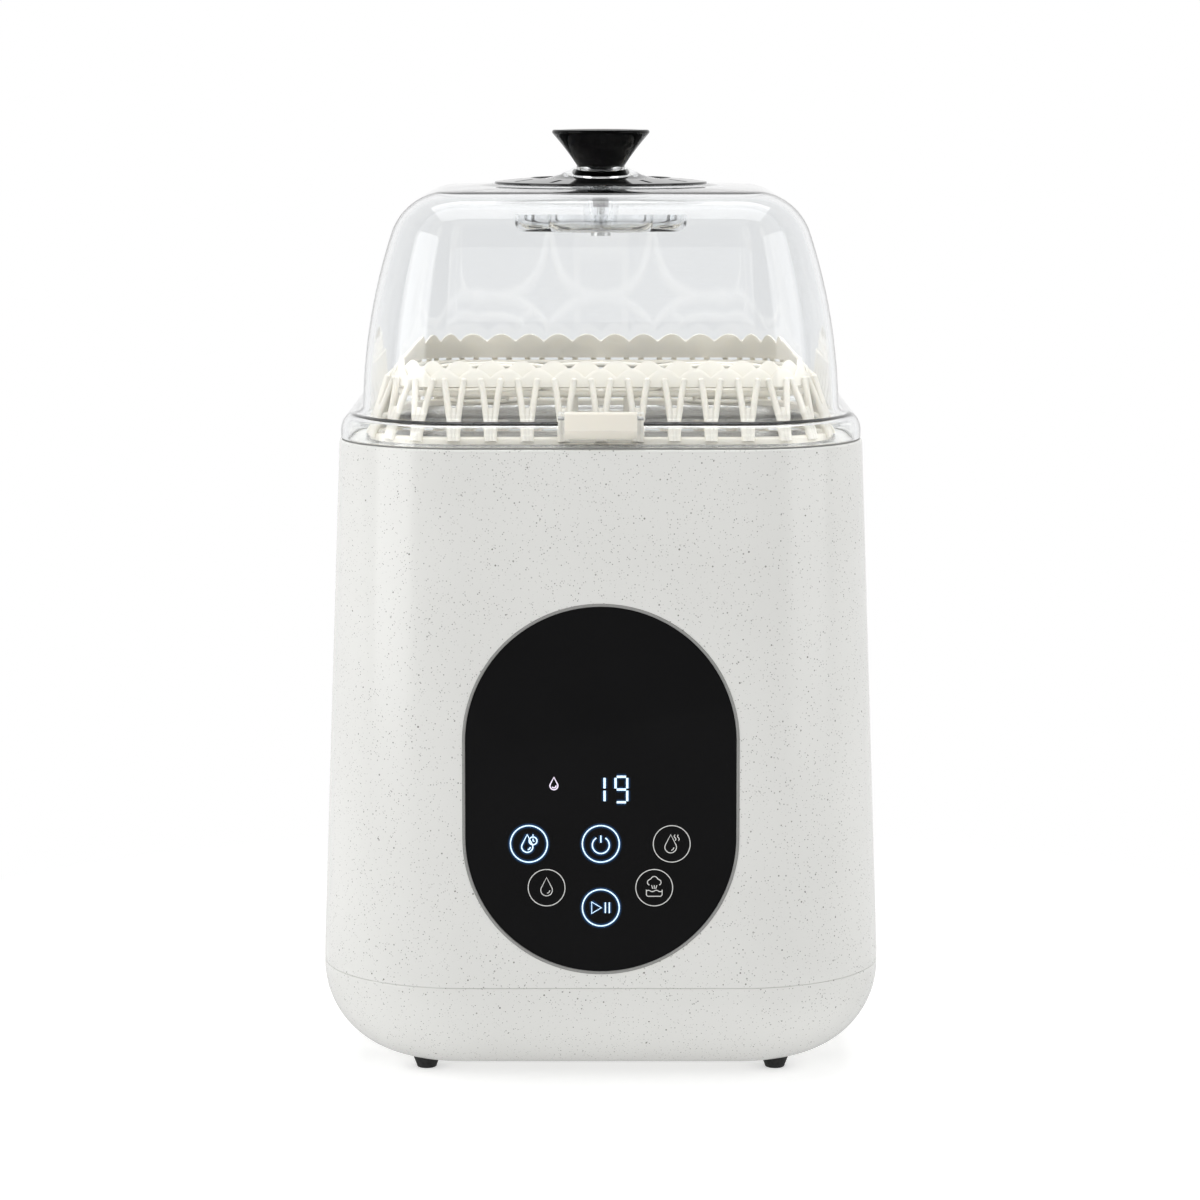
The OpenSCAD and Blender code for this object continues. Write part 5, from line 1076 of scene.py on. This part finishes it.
# %% [markdown]
# Pieces whose solid already has the right shape are carried over. Those that show get a copy with merged
# corners and small round edges, because a mathematically sharp edge never catches the light. Hidden ones keep
# the solid's own mesh and only receive a finish.


# %% Rounded copies of the solids that show
def softened(node, width, body, finish, segments=2):
    piece = placed(node + "_finished", merged(nodes[node].data.copy(), flatten=True))
    soften(piece, width * mm, segments, 50)
    dress(piece, finish, body, node, angle=40)


softened("top_deck", 0.4, "body", "speckled_shell")
softened("tank_rim", 0.4, "body", "speckled_shell")
softened("bottle_rack", 1.0, "body", "cream_plastic", 3)
softened("tank_bay", 0.4, "body", "grey_plastic")
for tank in ("clean_tank", "waste_tank"):
    softened(tank + "_lid", 1.2, tank + "_cover", "speckled_shell", 3)
    softened(tank + "_handle", 1.2, tank + "_bail", "grey_plastic", 3)

# %% [markdown]
# The steel tub is drawn from sheet: a flat rim, straight walls with round corners and a wide bend into the
# floor. It is lofted anew so that its bends are smooth, with the sump's opening and the air slots cut in.

# %% Steel tub
tub_z, tub_top = [corner.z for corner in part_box("wash_tub")]
tub_half, tub_corner, sheet, tub_bend, tub_rim, rim_r, sump_in = in_mm(104, 40, 1.2, 20, 12, 1.5, 33.5)
slot_pitch, slot_half, slot_low, slot_high = in_mm(9, 3, 44, 26)
tub_floor = tub_z + sheet
tub_plan = (tub_half, tub_half, tub_corner, lid_y)
profile = [(tub_rim, tub_top - sheet), (tub_rim, tub_top), (rim_r, tub_top)]
profile += arc(rim_r, tub_top - rim_r, rim_r, 90, 180, 5)[1:]
profile += arc(-tub_bend, tub_floor + tub_bend, tub_bend, 0, -90, 14)
rings = carried(profile, *tub_plan)
rings += [circle_like(rings[-1], sump_in, z, lid_y) for z in (tub_floor, tub_floor - sheet)]
under = arc(-tub_bend, tub_floor + tub_bend, tub_bend + sheet, -90, 0, 14)
rings += carried(under + [(sheet, tub_top - sheet)], *tub_plan)
tub = loft("wash_tub_drawn", rings)
tub_back = lid_y + tub_half
combine(tub, [block("air_slot", (x - slot_half, tub_back - beyond, body_top - slot_low),
                    (x + slot_half, tub_back + beyond, body_top - slot_high))
              for x in [k * slot_pitch for k in range(-2, 3)]])
dress(tub, "tub_steel", "body", "wash_tub", angle=40)

# %% [markdown]
# Four rubber feet carry the body. One turned foot is put on four points by a tree, as a maker would use the
# same moulding four times.


# %% Feet
def copies_tree():
    tree, names, given = new_tree("copies_on_points", Part="Object")
    part = add(tree, "GeometryNodeObjectInfo", {"Object": given["Part"]}).outputs["Geometry"]
    copies = add(tree, "GeometryNodeInstanceOnPoints", {"Points": given["Geometry"], "Instance": part})
    end_tree(tree, copies, given)
    return tree, names


foot_r, foot_tip, tip_r, bevel_in, bevel_h = in_mm(7, 5, 0.8, 0.3, 0.4)
profile = [(axis_r, 0), (foot_tip - tip_r, 0)] + arc(foot_tip - tip_r, tip_r, tip_r, -70, 10, 5)
profile += [(foot_r, foot_h - bevel_h), (foot_r - bevel_in, foot_h), (axis_r, foot_h)]
one_foot = turned("one_foot", profile, 48)
feet_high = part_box("feet")[1]
places = [(x * (feet_high.x - foot_r), y * (feet_high.y - foot_r), 0) for x in (-1, 1) for y in (-1, 1)]
rubber_feet = grow("rubber_feet", places, [], copies_tree(), "foot_rubber", {"Part": one_foot})
bpy.data.objects.remove(one_foot)
dress(rubber_feet, "foot_rubber", "body", "feet")

# %% [markdown]
# The rest keeps the solid's own mesh. Each of these pieces gets the finish that its record names.

# %% Finishes of the carried-over solids
carried_over = 0
for solid in nodes.values():
    if solid.hide_render:
        continue
    for holder in solid.material_slots:
        slot_name = holder.material.name.split(".")[0]
        holder.material = finishes.get(slot_name, holder.material)
        carried_over += 1
print("carried-over solids:", carried_over)
